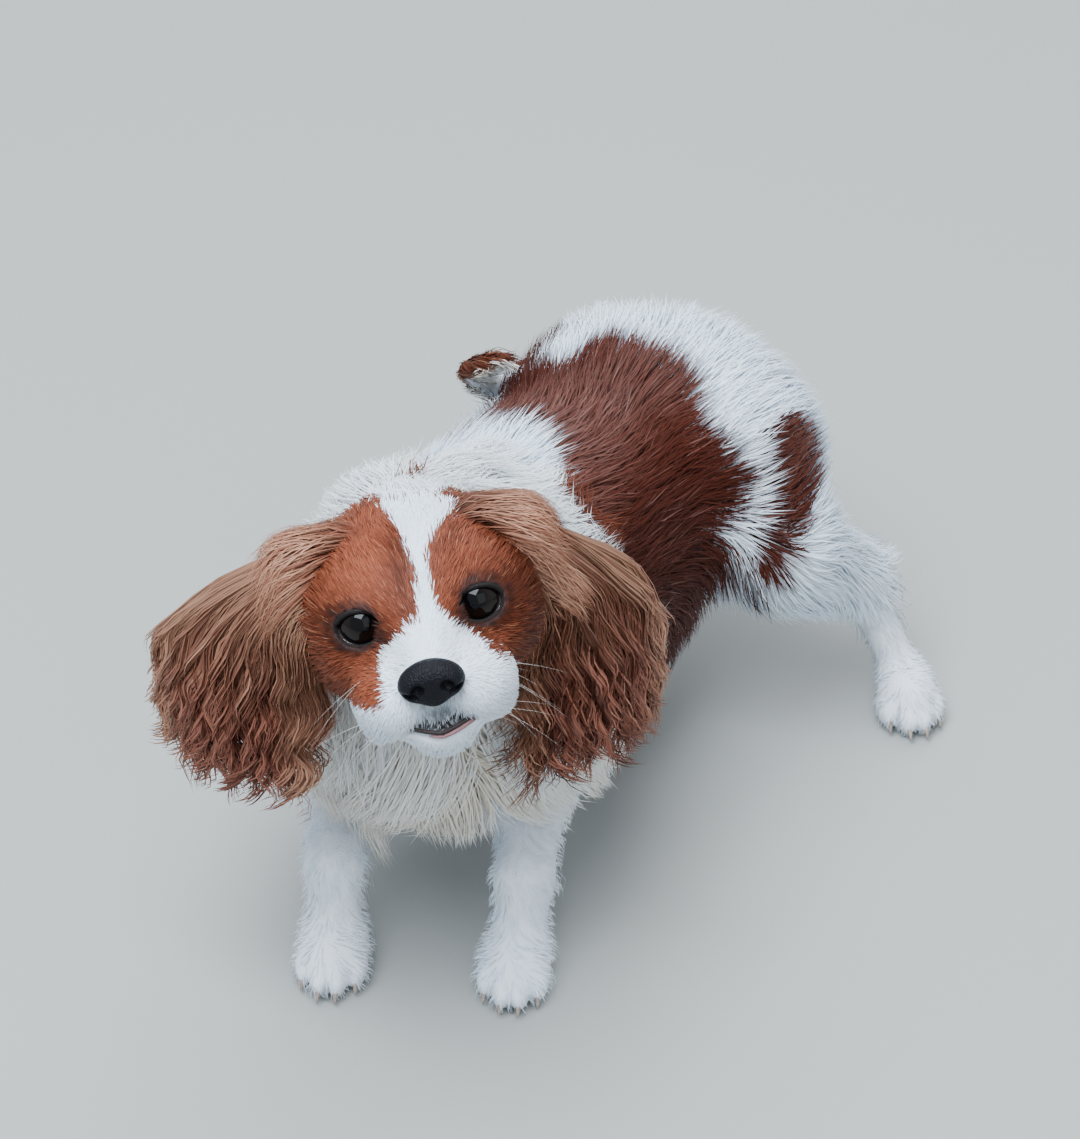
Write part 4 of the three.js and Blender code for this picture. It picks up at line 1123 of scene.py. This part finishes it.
def tuftMesh(name, paths, ups, widths, uv, values, material, recipe):
    count, rings = paths.shape[0], paths.shape[1] - 1
    t = np.arange(rings) / rings
    heading = unit(paths[:, 1:] - paths[:, :-1])
    across = unit(np.cross(heading, ups[:, :-1]))
    top = np.cross(across, heading)
    wide = widths[:, None] / 2 * np.minimum(tuft["root"] + tuft["swell"] * t, 1) * (1 - tuft["taper"] * t * t)
    wide, body = wide[:, :, None], paths[:, :-1]
    ring = np.stack([body - across * wide, body + top * wide * recipe["flat"], body + across * wide], 2)
    points = np.concatenate([ring.reshape(count, -1, 3), paths[:, -1:]], 1)
    coatUp = np.concatenate([np.repeat(ups[:, :-1], 3, 1), ups[:, -1:]], 1)
    normals = []
    for away in (1, -1):  # above, then below: a soft coat is lit more as a whole than tuft by tuft
        sloping = top * tuft["arch"] * away
        own = np.stack([sloping - across, top * away, sloping + across], 2)
        own = unit(np.concatenate([own.reshape(count, -1, 3), top[:, -1:] * away], 1))
        normals.append(unit(mix(own, coatUp * away, recipe["soft"])))
    faces, below = tuftFaces(rings)
    each = rings * 3 + 1
    allFaces = (faces[None] + np.arange(count)[:, None, None] * each).reshape(-1, 3)
    cornerNormals = np.stack(normals, 1)[:, below[:, None], faces]
    alongTuft = np.append(np.repeat(t, 3), 1.0)
    acrossTuft = np.append(np.tile([-1.0, 0.0, 1.0], rings), 0.0)
    made = {"along": np.tile(alongTuft, count), "across": np.tile(acrossTuft, count),
            "seed": np.repeat(draws.random(count), each)}
    for label, value in values.items():
        made[label] = value if value.ndim == 2 else np.repeat(value, each)
    tufts = newMesh(name, points.reshape(-1, 3), allFaces, material, made, cornerNormals.reshape(-1, 3))
    # each tuft is one small patch of the unwrap
    spot = np.stack([acrossTuft, alongTuft * 2 - 1], 1) * tuft["patch"]
    corners = (uv[:, None, :] + spot[None]).reshape(-1, 2)[allFaces.ravel()]
    tufts.data.uv_layers.new(name="OFBake").data.foreach_set("uv", corners.astype(np.float32).ravel())
    finish(tufts, recipe["slot"])


# how far the markings' edges and the tones vary from hair to hair
spread = {"face": 0.7, "trunk": 1.2, "white": (0.3, 0.7), "lockTone": 0.16, "tone": 0.10, "gold": 0.90}


def coatWhite(name, roots, paths):
    # white of each tuft, at its root or ring by ring
    if name in ("coat_face", "coat_crown"):
        white = headWhite(roots + draws.normal(0, spread["face"], roots.shape))[:, None]
        white = white * (name == "coat_face")
    else:  # a tuft partly takes the colour of the patch that it passes over
        seen = mix(paths, paths[:, -2:-1], 0.5) + draws.normal(0, spread["trunk"], (len(roots), 1, 3))
        white = trunkWhite(seen.reshape(-1, 3)).reshape(len(roots), -1)
    if name != "coat_legs":
        white = np.where(white > draws.uniform(*spread["white"], (len(roots), 1)), 1.0, 0.0)
    return white


def makeCoat(name, points, quads, uv, weight):
    recipe = coats[name]
    roots, rootUv = scatter(points, quads, uv, weight, recipe["count"])
    overEars, onFace = name == "coat_crown", name in ("coat_face", "coat_crown")
    paths, ups = growHair(roots, recipe, crownForm if overEars else smoothForm)
    paths, tones = clump(paths, ups, recipe)
    count, steps = len(roots), recipe["steps"]
    white = coatWhite(name, roots, paths)
    ringed = [n // 3 if white.shape[1] > 1 else 0 for n in range(steps * 3 + 1)]
    dark = np.clip(faceDark(roots) * draws.uniform(0.6, 1.25, count), 0, 1) * (0.96 if onFace else 0.0)
    shade = faceToneAndPaintedLight(roots) if onFace else bodyToneAndPaintedLight(roots)
    # the ruff whiter and bluer on top, where the sky lights it: painted light; creamier lower down
    if name == "coat_ruff":
        shade = mix(0.95, 0.42 + 0.2 * ripple(roots, 20.0, 3.0), ramp(188 - roots[:, 2], 0, 40))
    tone = np.clip(shade + tones * spread["lockTone"] + draws.normal(0, spread["tone"], count), 0, 1)
    gold = np.clip(draws.random(count) - spread["gold"], 0, 1) * 5
    if name == "coat_body":
        # painted sheen: the mauve Golden along the top of the back, where the sky shines on it; golden hairs
        # also on the hip patch
        hip = hill(distance(roots, marks["hip"]["at"]) / 24)
        gold = np.maximum(gold, (ramp(roots[:, 2], 165, 195) + hip) * draws.uniform(0.0, 0.6, count))
    if overEars:
        tips = np.append(np.repeat(np.arange(steps) / steps, 3), 1.0)[None]
        gold = (0.1 + draws.random(count)[:, None] * 0.9) * np.sin(math.pi * 0.75 * tips) ** 1.6
    values = {"white": white[:, ringed], "dark": dark, "tone": tone, "gold": gold}
    widths = recipe["width"] * draws.uniform(0.7, 1.3, count)
    material = hairMaterial(name + "Hair", recipe["tones"], streaked=not onFace)
    for n in range(recipe["pieces"]):
        pick = np.arange(count) % recipe["pieces"] == n
        label = name if recipe["pieces"] == 1 else f"{name}_{n + 1}"
        part = {key: value[pick] for key, value in values.items()}
        tuftMesh(label, paths[pick], ups[pick], widths[pick], rootUv[pick], part, material, recipe)
    print(name, count, "tufts")


# Ears

ear = {
    "root": vec(40, 0, 20), "rootHalf": 20, "half": 32, "length": {"left": 134, "right": 120},
    "leather": 0.62, "thick": 2.2, "bulge": {"left": 54, "right": 58}, "rise": 4, "fan": 38, "cup": 5,
    "tuck": {"left": 4, "right": 9}, "opening": 0.45, "narrow": 0.92,
}
earCoat = {
    "count": 3650, "steps": 9, "locks": 60, "wave": 2.8, "wavelength": 50, "curl": 7, "curlsFrom": 0.72,
    "width": 1.15, "soft": 0.72, "flat": 0.34, "slot": "coat_ear", "atRoot": 0.34, "inFront": 0.87,
    "outside": 0.78, "reach": (0.62, 1.07), "shortest": 0.34, "frontReach": (0.5, 0.72), "gather": 0.72,
}


def earPoint(name, along, across, out):
    yaw = turn("Z", pose["headYaw"])
    outward, forward = yaw @ vec(sides[name], 0, 0), yaw @ vec(0, -1, 0)
    length = ear["length"][name]
    opened = ramp(along, 0, ear["opening"])
    fan = np.radians(mix(90, ear["fan"], opened))[..., None]
    width = outward * np.cos(fan) - forward * np.sin(fan)
    outer = outward * np.sin(fan) + forward * np.cos(fan)
    rise = ear["bulge"][name] * (1 - np.maximum(1 - along, 0) ** ear["rise"])
    tuck = math.sin(math.radians(ear["tuck"][name])) * length * along
    half = mix(ear["rootHalf"], ear["half"], opened)
    root = face(sides[name] * ear["root"][0], ear["root"][1], ear["root"][2])
    return (root + outward * (rise - tuck - 6)[..., None] + down * (length * along)[..., None] +
            width * (across * half)[..., None] + outer * (out - ear["cup"] * across ** 2)[..., None])


def earMiddle(name, along):
    return earPoint(name, np.array(along), np.array(0.0), np.array(0.0))


crownForm = smoothForm
for name in sides:
    spotAlong, spotAcross = np.meshgrid(np.linspace(0, 1, 12), np.linspace(-1, 1, 5))
    earMiddles[name] = earPoint(name, spotAlong.ravel(), spotAcross.ravel(), np.zeros(spotAlong.size))
    crownForm = joined(crownForm, (limb(face(sides[name] * 26, 0, 17), earMiddle(name, 0.07), 13, 13), 14),
                       (limb(earMiddle(name, 0.07), earMiddle(name, 0.30), 13, 14), 8))


def makeEar(name):
    steps, around = 18, 24
    t = np.linspace(0, 1, steps + 1)
    angle = np.arange(around) / around * 2 * math.pi
    narrow = np.sqrt(np.maximum(1.02 - np.maximum(t - ear["opening"], 0) ** 2 / 0.33, 0.01))[:, None]
    along = np.repeat(t[:, None] * ear["leather"], around, 1)
    across = np.cos(angle)[None] * narrow * ear["narrow"]
    rings = earPoint(name, along, across, np.sin(angle)[None] * ear["thick"] * narrow)
    points = np.concatenate([rings.reshape(-1, 3), rings[:1].mean(1), rings[-1:].mean(1)])
    material = hairMaterial("earFur" + name.capitalize(), "ear")
    leather = plainMesh("ear_leather_" + name, points, closedFaces(steps + 1, around), material)
    # painted shadow: the leather under the ear hair is dark, so that it reads as shade between the hairs
    values = {"white": 0.0, "dark": 0.2, "tone": 0.1, "gold": 0.0, "along": 0.2, "across": 0.0, "seed": 0.3}
    for label, value in values.items():
        setValues(leather.data, label, value)
    finish(leather, "coat_ear", "ear_" + name)
    makeEarHair(name, material)


def earHairs(count):
    # where each hair starts and how far it reaches; it follows the lock that starts nearest to it
    locks, leather = earCoat["locks"], ear["leather"]
    kind = draws.random(count)
    start = np.sqrt(draws.random(count)) * leather
    start = np.where(kind < earCoat["atRoot"], draws.uniform(0.0, 0.16, count), start)
    front = kind > earCoat["inFront"]
    across = np.where(front, draws.uniform(-1.6, -0.86, count), draws.uniform(-1, 1, count))
    start = np.where(front, draws.uniform(0.0, 0.12, count), start)
    facing = np.where((draws.random(count) < earCoat["outside"]) | front, 1.0, -1.0)
    layer = draws.random(count)
    lockAcross, lockStart = draws.uniform(-1, 1, locks), draws.uniform(0, leather, locks)
    lockPhase, lockTurn = draws.uniform(0, 6.3, locks), np.where(draws.random(locks) < 0.5, 1.0, -1.0)
    lockReach, lockTone = draws.uniform(0.90, 1.06, locks), draws.uniform(-1, 1, locks)
    near = ((across[:, None] - lockAcross) * 1.5) ** 2 + (start[:, None] - lockStart) ** 2
    mine = (near + draws.random(near.shape) * 0.015).argmin(1)
    reach = draws.uniform(*earCoat["reach"], count) * lockReach[mine] - start
    reach = np.maximum(reach, earCoat["shortest"])
    reach = np.where(front, draws.uniform(*earCoat["frontReach"], count), reach)
    return {
        "start": start, "across": across, "reach": reach, "facing": facing, "layer": layer,
        "lockAcross": lockAcross[mine], "lockTurn": lockTurn[mine], "lockTone": lockTone[mine],
        "phase": lockPhase[mine] + draws.normal(0, 0.15, count), "stray": draws.normal(0, 1.0, (2, count)),
        "edgeward": ramp(np.abs(across), 0.72, 1.0) * draws.random(count),
    }


def earPath(name, hair, share):
    # place of every hair at one share of its length
    t = share ** 0.85
    curled = max(t - earCoat["curlsFrom"], 0) / (1 - earCoat["curlsFrom"])
    curl = earCoat["curl"] * ramp(hair["start"] + hair["reach"], 0.78, 1.0)
    along = hair["start"] + hair["reach"] * (t - 0.12 * curled ** 2)
    turns = along * (0.65 + 0.8 * along) * ear["length"][name] / earCoat["wavelength"]
    swing = 2 * math.pi * turns + hair["phase"]
    waved = earCoat["wave"] * min(t * 2.2, 1) * np.sin(swing) + curl * curled ** 2 * hair["lockTurn"]
    place = mix(hair["across"], hair["lockAcross"], earCoat["gather"] * t ** 1.1)
    place = place * (1 + (0.22 + 0.22 * hair["edgeward"]) * t)
    place = place + (waved + hair["stray"][0] * t * 0.6) / ear["half"]
    rise = (1.2 + 9.0 * hair["layer"]) * t ** 0.6 + 1.5 * t * np.cos(swing) + curl * 0.5 * curled ** 2
    out = hair["facing"] * (ear["thick"] * 0.8 * min(t * 6, 1) + rise) + hair["stray"][1] * t * 0.6
    return earPoint(name, along, place, out)


def makeEarHair(name, material):
    count, steps = int(earCoat["count"] * coatShare), earCoat["steps"]
    hair = earHairs(count)
    start, across, facing = hair["start"], hair["across"], hair["facing"]
    paths = np.stack([earPath(name, hair, i / steps) for i in range(steps + 1)], 1)
    lifted = earPoint(name, start, across, facing * 5) - earPoint(name, start, across, facing * 0)
    ups = np.repeat(unit(lifted)[:, None], steps + 1, 1)
    ends = np.append(np.repeat(np.arange(steps) / steps, 3), 1.0)[None] * hair["reach"][:, None]
    ends = ends + start[:, None]
    pale = ramp(across, 0.45, 1.0) * 0.8 + ramp(-across, 0.80, 0.92) * 0.75
    high = ramp(0.62 - ends, 0, 0.5) * 0.8
    light = (draws.random(count) > 0.95) * 0.5
    gold = (pale * draws.uniform(0.3, 1.1, count))[:, None] + high * draws.uniform(0.2, 1.0, count)[:, None]
    tone = 0.50 + 0.32 * hair["lockTone"] + 0.2 * (hair["layer"] - 0.5) + draws.normal(0, 0.12, count)
    values = {
        "white": np.zeros(count), "dark": ramp(ends, 0.80, 1.05) * 0.35,
        "tone": np.clip(tone[:, None] - 0.25 * ramp(ends, 0.4, 0.9), 0, 1),
        "gold": np.clip(gold + light[:, None], 0, 0.9),
    }
    rootUv = np.stack([(across + 1.1) / 2.4, start * 1.1 + 0.15], 1)
    widths = earCoat["width"] * draws.uniform(0.7, 1.3, count)
    tuftMesh("coat_ear_" + name, paths, ups, widths, rootUv, values, material, earCoat)
    print("coat_ear_" + name, count, "tufts")


# Eyes, nose, lips, claws and whiskers

def ringFaces(rings, around):
    index = np.arange(rings * around).reshape(rings, around)
    after = np.roll(index, -1, 1)
    quads = np.stack([index[:-1], after[:-1], after[1:], index[1:]], -1).reshape(-1, 4)
    return [tuple(map(int, quad)) for quad in quads]


def closedFaces(rings, around):
    # rings closed by two poles, whose points follow those of the rings
    pole, last = rings * around, (rings - 1) * around
    edges = [(i, (i + 1) % around) for i in range(around)]
    ends = [(b, a, pole) for a, b in edges] + [(last + a, last + b, pole + 1) for a, b in edges]
    return ringFaces(rings, around) + ends


def plainMesh(name, points, faces, material):
    mesh = bpy.data.meshes.new(name)
    mesh.from_pydata([tuple(p) for p in toMetres(points)], [], faces)
    mesh.polygons.foreach_set("use_smooth", np.full(len(faces), True))
    mesh.materials.append(material)
    shape = bmesh.new()
    shape.from_mesh(mesh)
    bmesh.ops.recalc_face_normals(shape, faces=shape.faces)
    shape.to_mesh(mesh)
    shape.free()
    return addObject(name, mesh)


def headPlace(local):
    return local @ headTurn.T + pose["headAt"]


# colours from the middle of the pupil outwards, by the share of the way to the iris's far edge
irisRings = [
    (0.0, (0.001, 0.001, 0.0015, 1)), (0.33, (0.001, 0.001, 0.0015, 1)), (0.38, (0.005, 0.003, 0.0025, 1)),
    (0.60, (0.008, 0.0045, 0.0035, 1)), (0.78, (0.002, 0.002, 0.002, 1)), (0.90, (0.008, 0.006, 0.006, 1)),
    (1.0, (0.06, 0.05, 0.05, 1)),
]
irisReach = 12.5


def makeEye(name):
    side = sides[name]
    material, tree, shader = newMaterial("eyeBall" + name.capitalize(), Roughness=0.3, Specular_IOR_Level=0.0,
                                         Coat_Weight=1.0, Coat_Roughness=0.012, Coat_IOR=1.30)
    rings, around = 40, 64
    t = np.linspace(0, math.pi, rings + 1)[1:-1, None]
    angle = (np.arange(around) / around * 2 * math.pi)[None]
    ball = np.stack([np.sin(t) * np.cos(angle), -np.cos(t) + 0 * angle, np.sin(t) * np.sin(angle)], -1)
    ball = np.concatenate([ball.reshape(-1, 3), [[0, -1, 0], [0, 1, 0]]])
    fromAxis = np.arccos(np.clip(-ball[:, 1], -1, 1)) * eye["radius"]
    bulge = eye["ball"] + eye["cornea"] * ramp(9 - fromAxis, 0, 6)
    looking = turn("X", -eye["lookUp"])
    points = headPlace((ball * eye["radius"] * bulge[:, None]) @ looking.T + eyeMiddle(side))
    eyeball = plainMesh("eyeball_" + name, points, closedFaces(rings - 1, around), material)
    setValues(eyeball.data, "fromAxis", fromAxis)
    colours = tree.nodes.new("ShaderNodeValToRGB")
    stops = colours.color_ramp.elements
    stops[0].position, stops[0].color = irisRings[0]
    stops[1].position, stops[1].color = irisRings[-1]
    for position, colour in irisRings[1:-1]:
        stops.new(position).color = colour
    feed(tree, colours.inputs["Fac"], maths(tree, "DIVIDE", attribute(tree, "fromAxis"), irisReach))
    feed(tree, shader.inputs["Base Color"], colours.outputs["Color"])
    finish(eyeball, "eye", "eye_" + name)


def sweep(path, radii, around=8, looped=False):
    # a closed tube along a path, tapered where it is open
    before, after = (np.roll(path, 1, 0), np.roll(path, -1, 0)) if looped else (None, None)
    heading = unit(after - before) if looped else unit(np.gradient(path, axis=0))
    across = unit(np.cross(heading, vec(0.1, 0.2, 1)))
    beside = np.cross(heading, across)
    angle = (np.arange(around) / around * 2 * math.pi)[None, :, None]
    ring = across[:, None] * np.cos(angle) + beside[:, None] * np.sin(angle)
    points = (path[:, None] + ring * np.asarray(radii)[:, None, None]).reshape(-1, 3)
    last = (len(path) - 1) * around
    ends = [tuple(range(around - 1, -1, -1)), tuple(range(last, last + around))]
    if looped:
        ends = [(last + i, last + (i + 1) % around, (i + 1) % around, i) for i in range(around)]
    return points, ringFaces(len(path), around) + ends


def joinedTubes(name, tubes, material, slot):
    points, faces, start = [], [], 0
    for tubePoints, tubeFaces in tubes:
        points.append(tubePoints)
        faces += [tuple(i + start for i in face) for face in tubeFaces]
        start += len(tubePoints)
    return finish(plainMesh(name, np.concatenate(points), faces, material), slot)


def grainedMaterial(name, scale, dark, light, bump, **constants):
    material, tree, shader = newMaterial(name, **constants)
    grain = placeGroup(tree, "fineGrain", Scale=scale)
    feed(tree, shader.inputs["Base Color"], mixColour(tree, grain.outputs["Height"], dark, light))
    addBump(tree, shader, grain.outputs["Height"], 0.7, bump)
    return material


lids = {
    "thick": 0.8, "upper": 0.4, "ahead": 0.9,
    "dark": (0.003, 0.003, 0.003, 1), "light": (0.012, 0.010, 0.010, 1),
}
tears = {
    "thick": 0.3, "inner": 0.93, "bead": 0.9, "dark": (0.05, 0.035, 0.035, 1), "light": (0.10, 0.07, 0.07, 1),
}


def makeLids(name):
    # dark rims round the open eye, a wet line along the lower one and the tear corner
    side = sides[name]
    across, up = almond(side)
    reach = across ** 2 + up ** 2
    turned = eyeFrame(side).T
    rimDepth = -np.sqrt(np.maximum((eye["radius"] + lids["ahead"]) ** 2 - reach, 12))
    path = headPlace(np.stack([across, rimDepth, up], 1) @ turned + eyeMiddle(side))
    material = grainedMaterial("lidRim" + name.capitalize(), 2600.0, lids["dark"], lids["light"], 0.0002,
                               Roughness=0.5, Specular_IOR_Level=0.12)
    thick = lids["thick"] + lids["upper"] * ramp(up, 0, 4)
    joinedTubes("lids_" + name, [sweep(path, thick, 10, looped=True)], material, "nose")
    inner = tears["inner"]
    wetDepth = -np.sqrt(np.maximum((eye["radius"] * 1.005) ** 2 - reach * inner ** 2, 12))
    wetPath = np.stack([across * inner, wetDepth, up * inner - 0.1], 1)
    wet = grainedMaterial("tearLine" + name.capitalize(), 900.0, tears["dark"], tears["light"], 0.0001,
                          Roughness=0.08, Coat_Weight=1.0)
    corner = vec(-side * (eye["wide"] / 2 + 0.4), 0, -1.2)
    corner[1] = -math.sqrt((eye["radius"] + 0.4) ** 2 - corner[0] ** 2 - corner[2] ** 2)
    t = np.linspace(-1, 1, 7)
    bead = corner + vec(-side * 1.1, 0.6, 0) * t[:, None]
    wetPath, bead = (headPlace(line @ turned + eyeMiddle(side)) for line in (wetPath, bead))
    thin = tears["thick"] * (0.35 + 0.65 * ramp(-up, -1, 4))
    tubes = [sweep(wetPath, thin, looped=True), sweep(bead, tears["bead"] * np.sqrt(1.02 - t ** 2))]
    joinedTubes("tear_line_" + name, tubes, wet, "nose")


def noseForm(q):
    at = nose["at"]
    narrow = 1 - 0.4 * np.clip(-(q[:, 2] - at[2]) / 10, 0, 1)
    p = q.copy()
    p[:, 0] = p[:, 0] / narrow
    pad = egg(at, vec(nose["wide"], nose["deep"], nose["high"]) / 2)(p)
    for side in (1, -1):
        pad = soft(pad, egg(at + vec(side * 7.2, -1.2, 0.2), vec(6.0, 6.4, 6.4))(q), 2.5)
    pad = soft(pad, egg(at + vec(0, -2.5, 3.5), vec(9, 5.5, 5.5))(q), 3)
    for side in (1, -1):
        hole = egg(at + vec(side * 6.2, -8.6, -0.6), vec(3.1, 5.2, 2.7), turn("Y", side * 30))(q)
        slit = egg(at + vec(side * 9.8, -5.8, -2.8), vec(3.8, 3.8, 1.2), turn("Y", -side * 24))(q)
        pad = -soft(-pad, soft(hole, slit, 1.5), 1.4)
    groove = limb(at + vec(0, -9.6, 1.5), at + vec(0, -6.2, -10), 0.9, 0.8)(q)
    return -soft(-pad, groove, 2.0)


def makeNose():
    cell = 0.5 if fullCoat else 0.8
    grids = [np.arange(middle - r, middle + r, cell) for middle, r in zip(nose["at"], (16, 12, 13))]
    points, quads = surfaceNet(noseForm, *grids, reach=2)
    material = grainedMaterial("noseLeather", 1300.0, nose["dark"], nose["light"], 0.0005,
                               Roughness=0.42, Specular_IOR_Level=0.1)
    finish(newMesh("nose_pad", headPlace(points), quads, material), "nose", "nose")


lips = {
    "upper": {"up": 0.7, "radius": 1.0, "from": -0.96, "to": 0.96,
              "dark": (0.006, 0.005, 0.006, 1), "light": (0.03, 0.02, 0.02, 1)},
    "lower": {"up": -1.0, "radius": 1.05, "from": -0.2, "to": 0.85,
              "dark": (0.12, 0.05, 0.06, 1), "light": (0.27, 0.14, 0.15, 1)},
}


def makeLips():
    for name, values in lips.items():
        across = np.linspace(values["from"], values["to"], 49)
        material = grainedMaterial("lip" + name.capitalize(), 1500.0, values["dark"], values["light"],
                                   0.0003, Roughness=0.5, Specular_IOR_Level=0.25)
        path = headPlace(np.array([mouthPoint(a, -0.7, values["up"]) for a in across]))
        radii = values["radius"] * np.sqrt(np.maximum(1 - np.linspace(-1, 1, 49) ** 2 * 0.98, 0.02))
        joinedTubes("lip_" + name, [sweep(path, radii)], material, "nose")


claws = {
    "from": 7.5, "reach": 4.2, "radius": 1.4, "tip": 0.12, "below": 1.5, "drop": 4.2,
    "dark": (0.16, 0.12, 0.10, 1), "light": (0.36, 0.29, 0.24, 1),
}


def makeClaws():
    material = grainedMaterial("claw", 700.0, claws["dark"], claws["light"], 0.0001, Roughness=0.3)
    tubes = []
    t = np.linspace(0, 1, 7)[:, None]
    for paw in paws.values():
        for n in toe["places"]:
            ahead = turn("Z", paw["to"]) @ vec(n * 0.05, -1, 0)
            path = toePlace(paw, n) + ahead * (claws["from"] + claws["reach"] * t)
            path = path + down * (claws["below"] + claws["drop"] * t ** 1.6)
            tubes.append(sweep(path, claws["radius"] * (1 - t[:, 0]) ** 0.6 + claws["tip"]))
    joinedTubes("claws", tubes, material, "nose")


whiskers = {
    "count": 22, "length": (20, 38), "radius": 0.07, "droop": 0.16,
    "dark": (0.5, 0.45, 0.40, 1), "light": (0.8, 0.78, 0.75, 1),
}


def makeWhiskers():
    material = grainedMaterial("whisker", 60.0, whiskers["dark"], whiskers["light"], 0.0001, Roughness=0.4)
    tubes = []
    t = np.linspace(0, 1, 9)[:, None]
    for n in range(whiskers["count"]):
        side = 1 if n % 2 else -1
        root = headPlace(vec(side * draws.uniform(15, 27), draws.uniform(-76, -60), draws.uniform(-34, -20)))
        normal = slopeOf(plainHeadForm, root[None])[0]
        root = root - normal * plainHeadForm(root[None])[0]
        swept = vec(side * draws.uniform(0.6, 0.9), 0.5, draws.uniform(-1.0, -0.2))
        way = unit(normal * 0.1 + headTurn @ swept)
        length = draws.uniform(*whiskers["length"])
        path = root + way * length * t + down * length * whiskers["droop"] * t ** 2
        tubes.append(sweep(path, whiskers["radius"] * (1 - 0.85 * t[:, 0]), 4))
    joinedTubes("whiskers", tubes, material, "coat_white")


# Hair of the tail

tailCoat = {
    "count": 2200, "steps": 4, "reach": 0.26, "lift": (1, 6), "width": 0.9, "soft": 0.25, "flat": 0.5,
    "slot": "coat_white", "tones": "ruff", "starts": (0.1, 0.98), "startsTo": 0.78, "radius": (14, 3.5),
    "inner": vec(1, -0.2, -0.1),  # the white side, next to the rump
    "beyond": [vec(-72, 60, 161), vec(-58, 64, 162)],  # where the hair goes on past the tip
}


def tailAt(along):
    line = np.array(tail["line"] + tailCoat["beyond"])
    spot = np.clip(along, 0, 1) * (len(line) - 1)
    n = np.minimum(spot.astype(int), len(line) - 2)
    before, a, b, beyond = (line[np.clip(n + k, 0, len(line) - 1)] for k in (-1, 0, 1, 2))
    f = (spot - n)[:, None]
    return 0.5 * (2 * a + (b - before) * f + (2 * before - 5 * a + 4 * b - beyond) * f ** 2 +
                  (3 * a - before - 3 * b + beyond) * f ** 3)


def makeTail():
    count = int(tailCoat["count"] * coatShare)
    steps = tailCoat["steps"]
    start = draws.uniform(*tailCoat["starts"], count) ** 0.85 * tailCoat["startsTo"]
    angle = draws.uniform(0, 2 * math.pi, count)
    lift = draws.uniform(*tailCoat["lift"], count)
    phase = ((start * 14).astype(int) * 5 + (angle / 1.4).astype(int)) * 2.4
    paths, ups = [], []
    for i in range(steps + 1):
        t = i / steps
        along = start + tailCoat["reach"] * t * (0.7 + 0.3 * np.cos(phase)) * (1 - 0.5 * start ** 2)
        end = np.minimum(along, 1)
        ahead = np.minimum(end + 0.01, 1)
        tangent = unit(tailAt(ahead) - tailAt(ahead - 0.02))
        across = unit(np.cross(tangent, vec(0, 0, 1)))
        above = np.cross(across, tangent)
        turned = (angle + 0.5 * t * np.sin(phase + 3 * t))[:, None]
        out = across * np.cos(turned) + above * np.sin(turned)
        radius = mix(*tailCoat["radius"], np.sqrt(end))
        middle = tailAt(end) + tangent * ((along - end) * 60)[:, None]
        paths.append(middle + out * (radius * 0.6 + lift * t)[:, None] + down * (2 * t * t))
        ups.append(out)
    paths, ups = np.stack(paths, 1), np.stack(ups, 1)
    inner = (ups[:, 2] @ tailCoat["inner"]) > draws.uniform(-0.1, 0.25, count)
    tone = np.clip(0.5 + 0.2 * np.sin(phase) + draws.normal(0, 0.12, count), 0, 1)
    gold = np.clip(draws.random(count) - 0.85, 0, 1) * 3
    rootUv = np.stack([start * 0.9 + 0.05, angle / 7], 1)
    values = {"white": inner.astype(float), "dark": np.zeros(count), "tone": tone, "gold": gold}
    widths = tailCoat["width"] * draws.uniform(0.7, 1.2, count)
    material = hairMaterial("tailHair", tailCoat["tones"])
    tuftMesh("coat_tail", paths, ups, widths, rootUv, values, material, tailCoat)
    print("coat_tail", count, "tufts")


# Making

makeCamera()
makeStage()
print("stage ready")
skinPoints, skinQuads, skinUv = makeSkin()
skinZones = zones(skinPoints[skinQuads].mean(1))
for name in coats:
    makeCoat(name, skinPoints, skinQuads, skinUv, skinZones[name])
for name in sides:
    makeEye(name)
    makeLids(name)
    makeEar(name)
makeNose()
makeLips()
makeClaws()
makeWhiskers()
makeTail()
print("all pieces made")
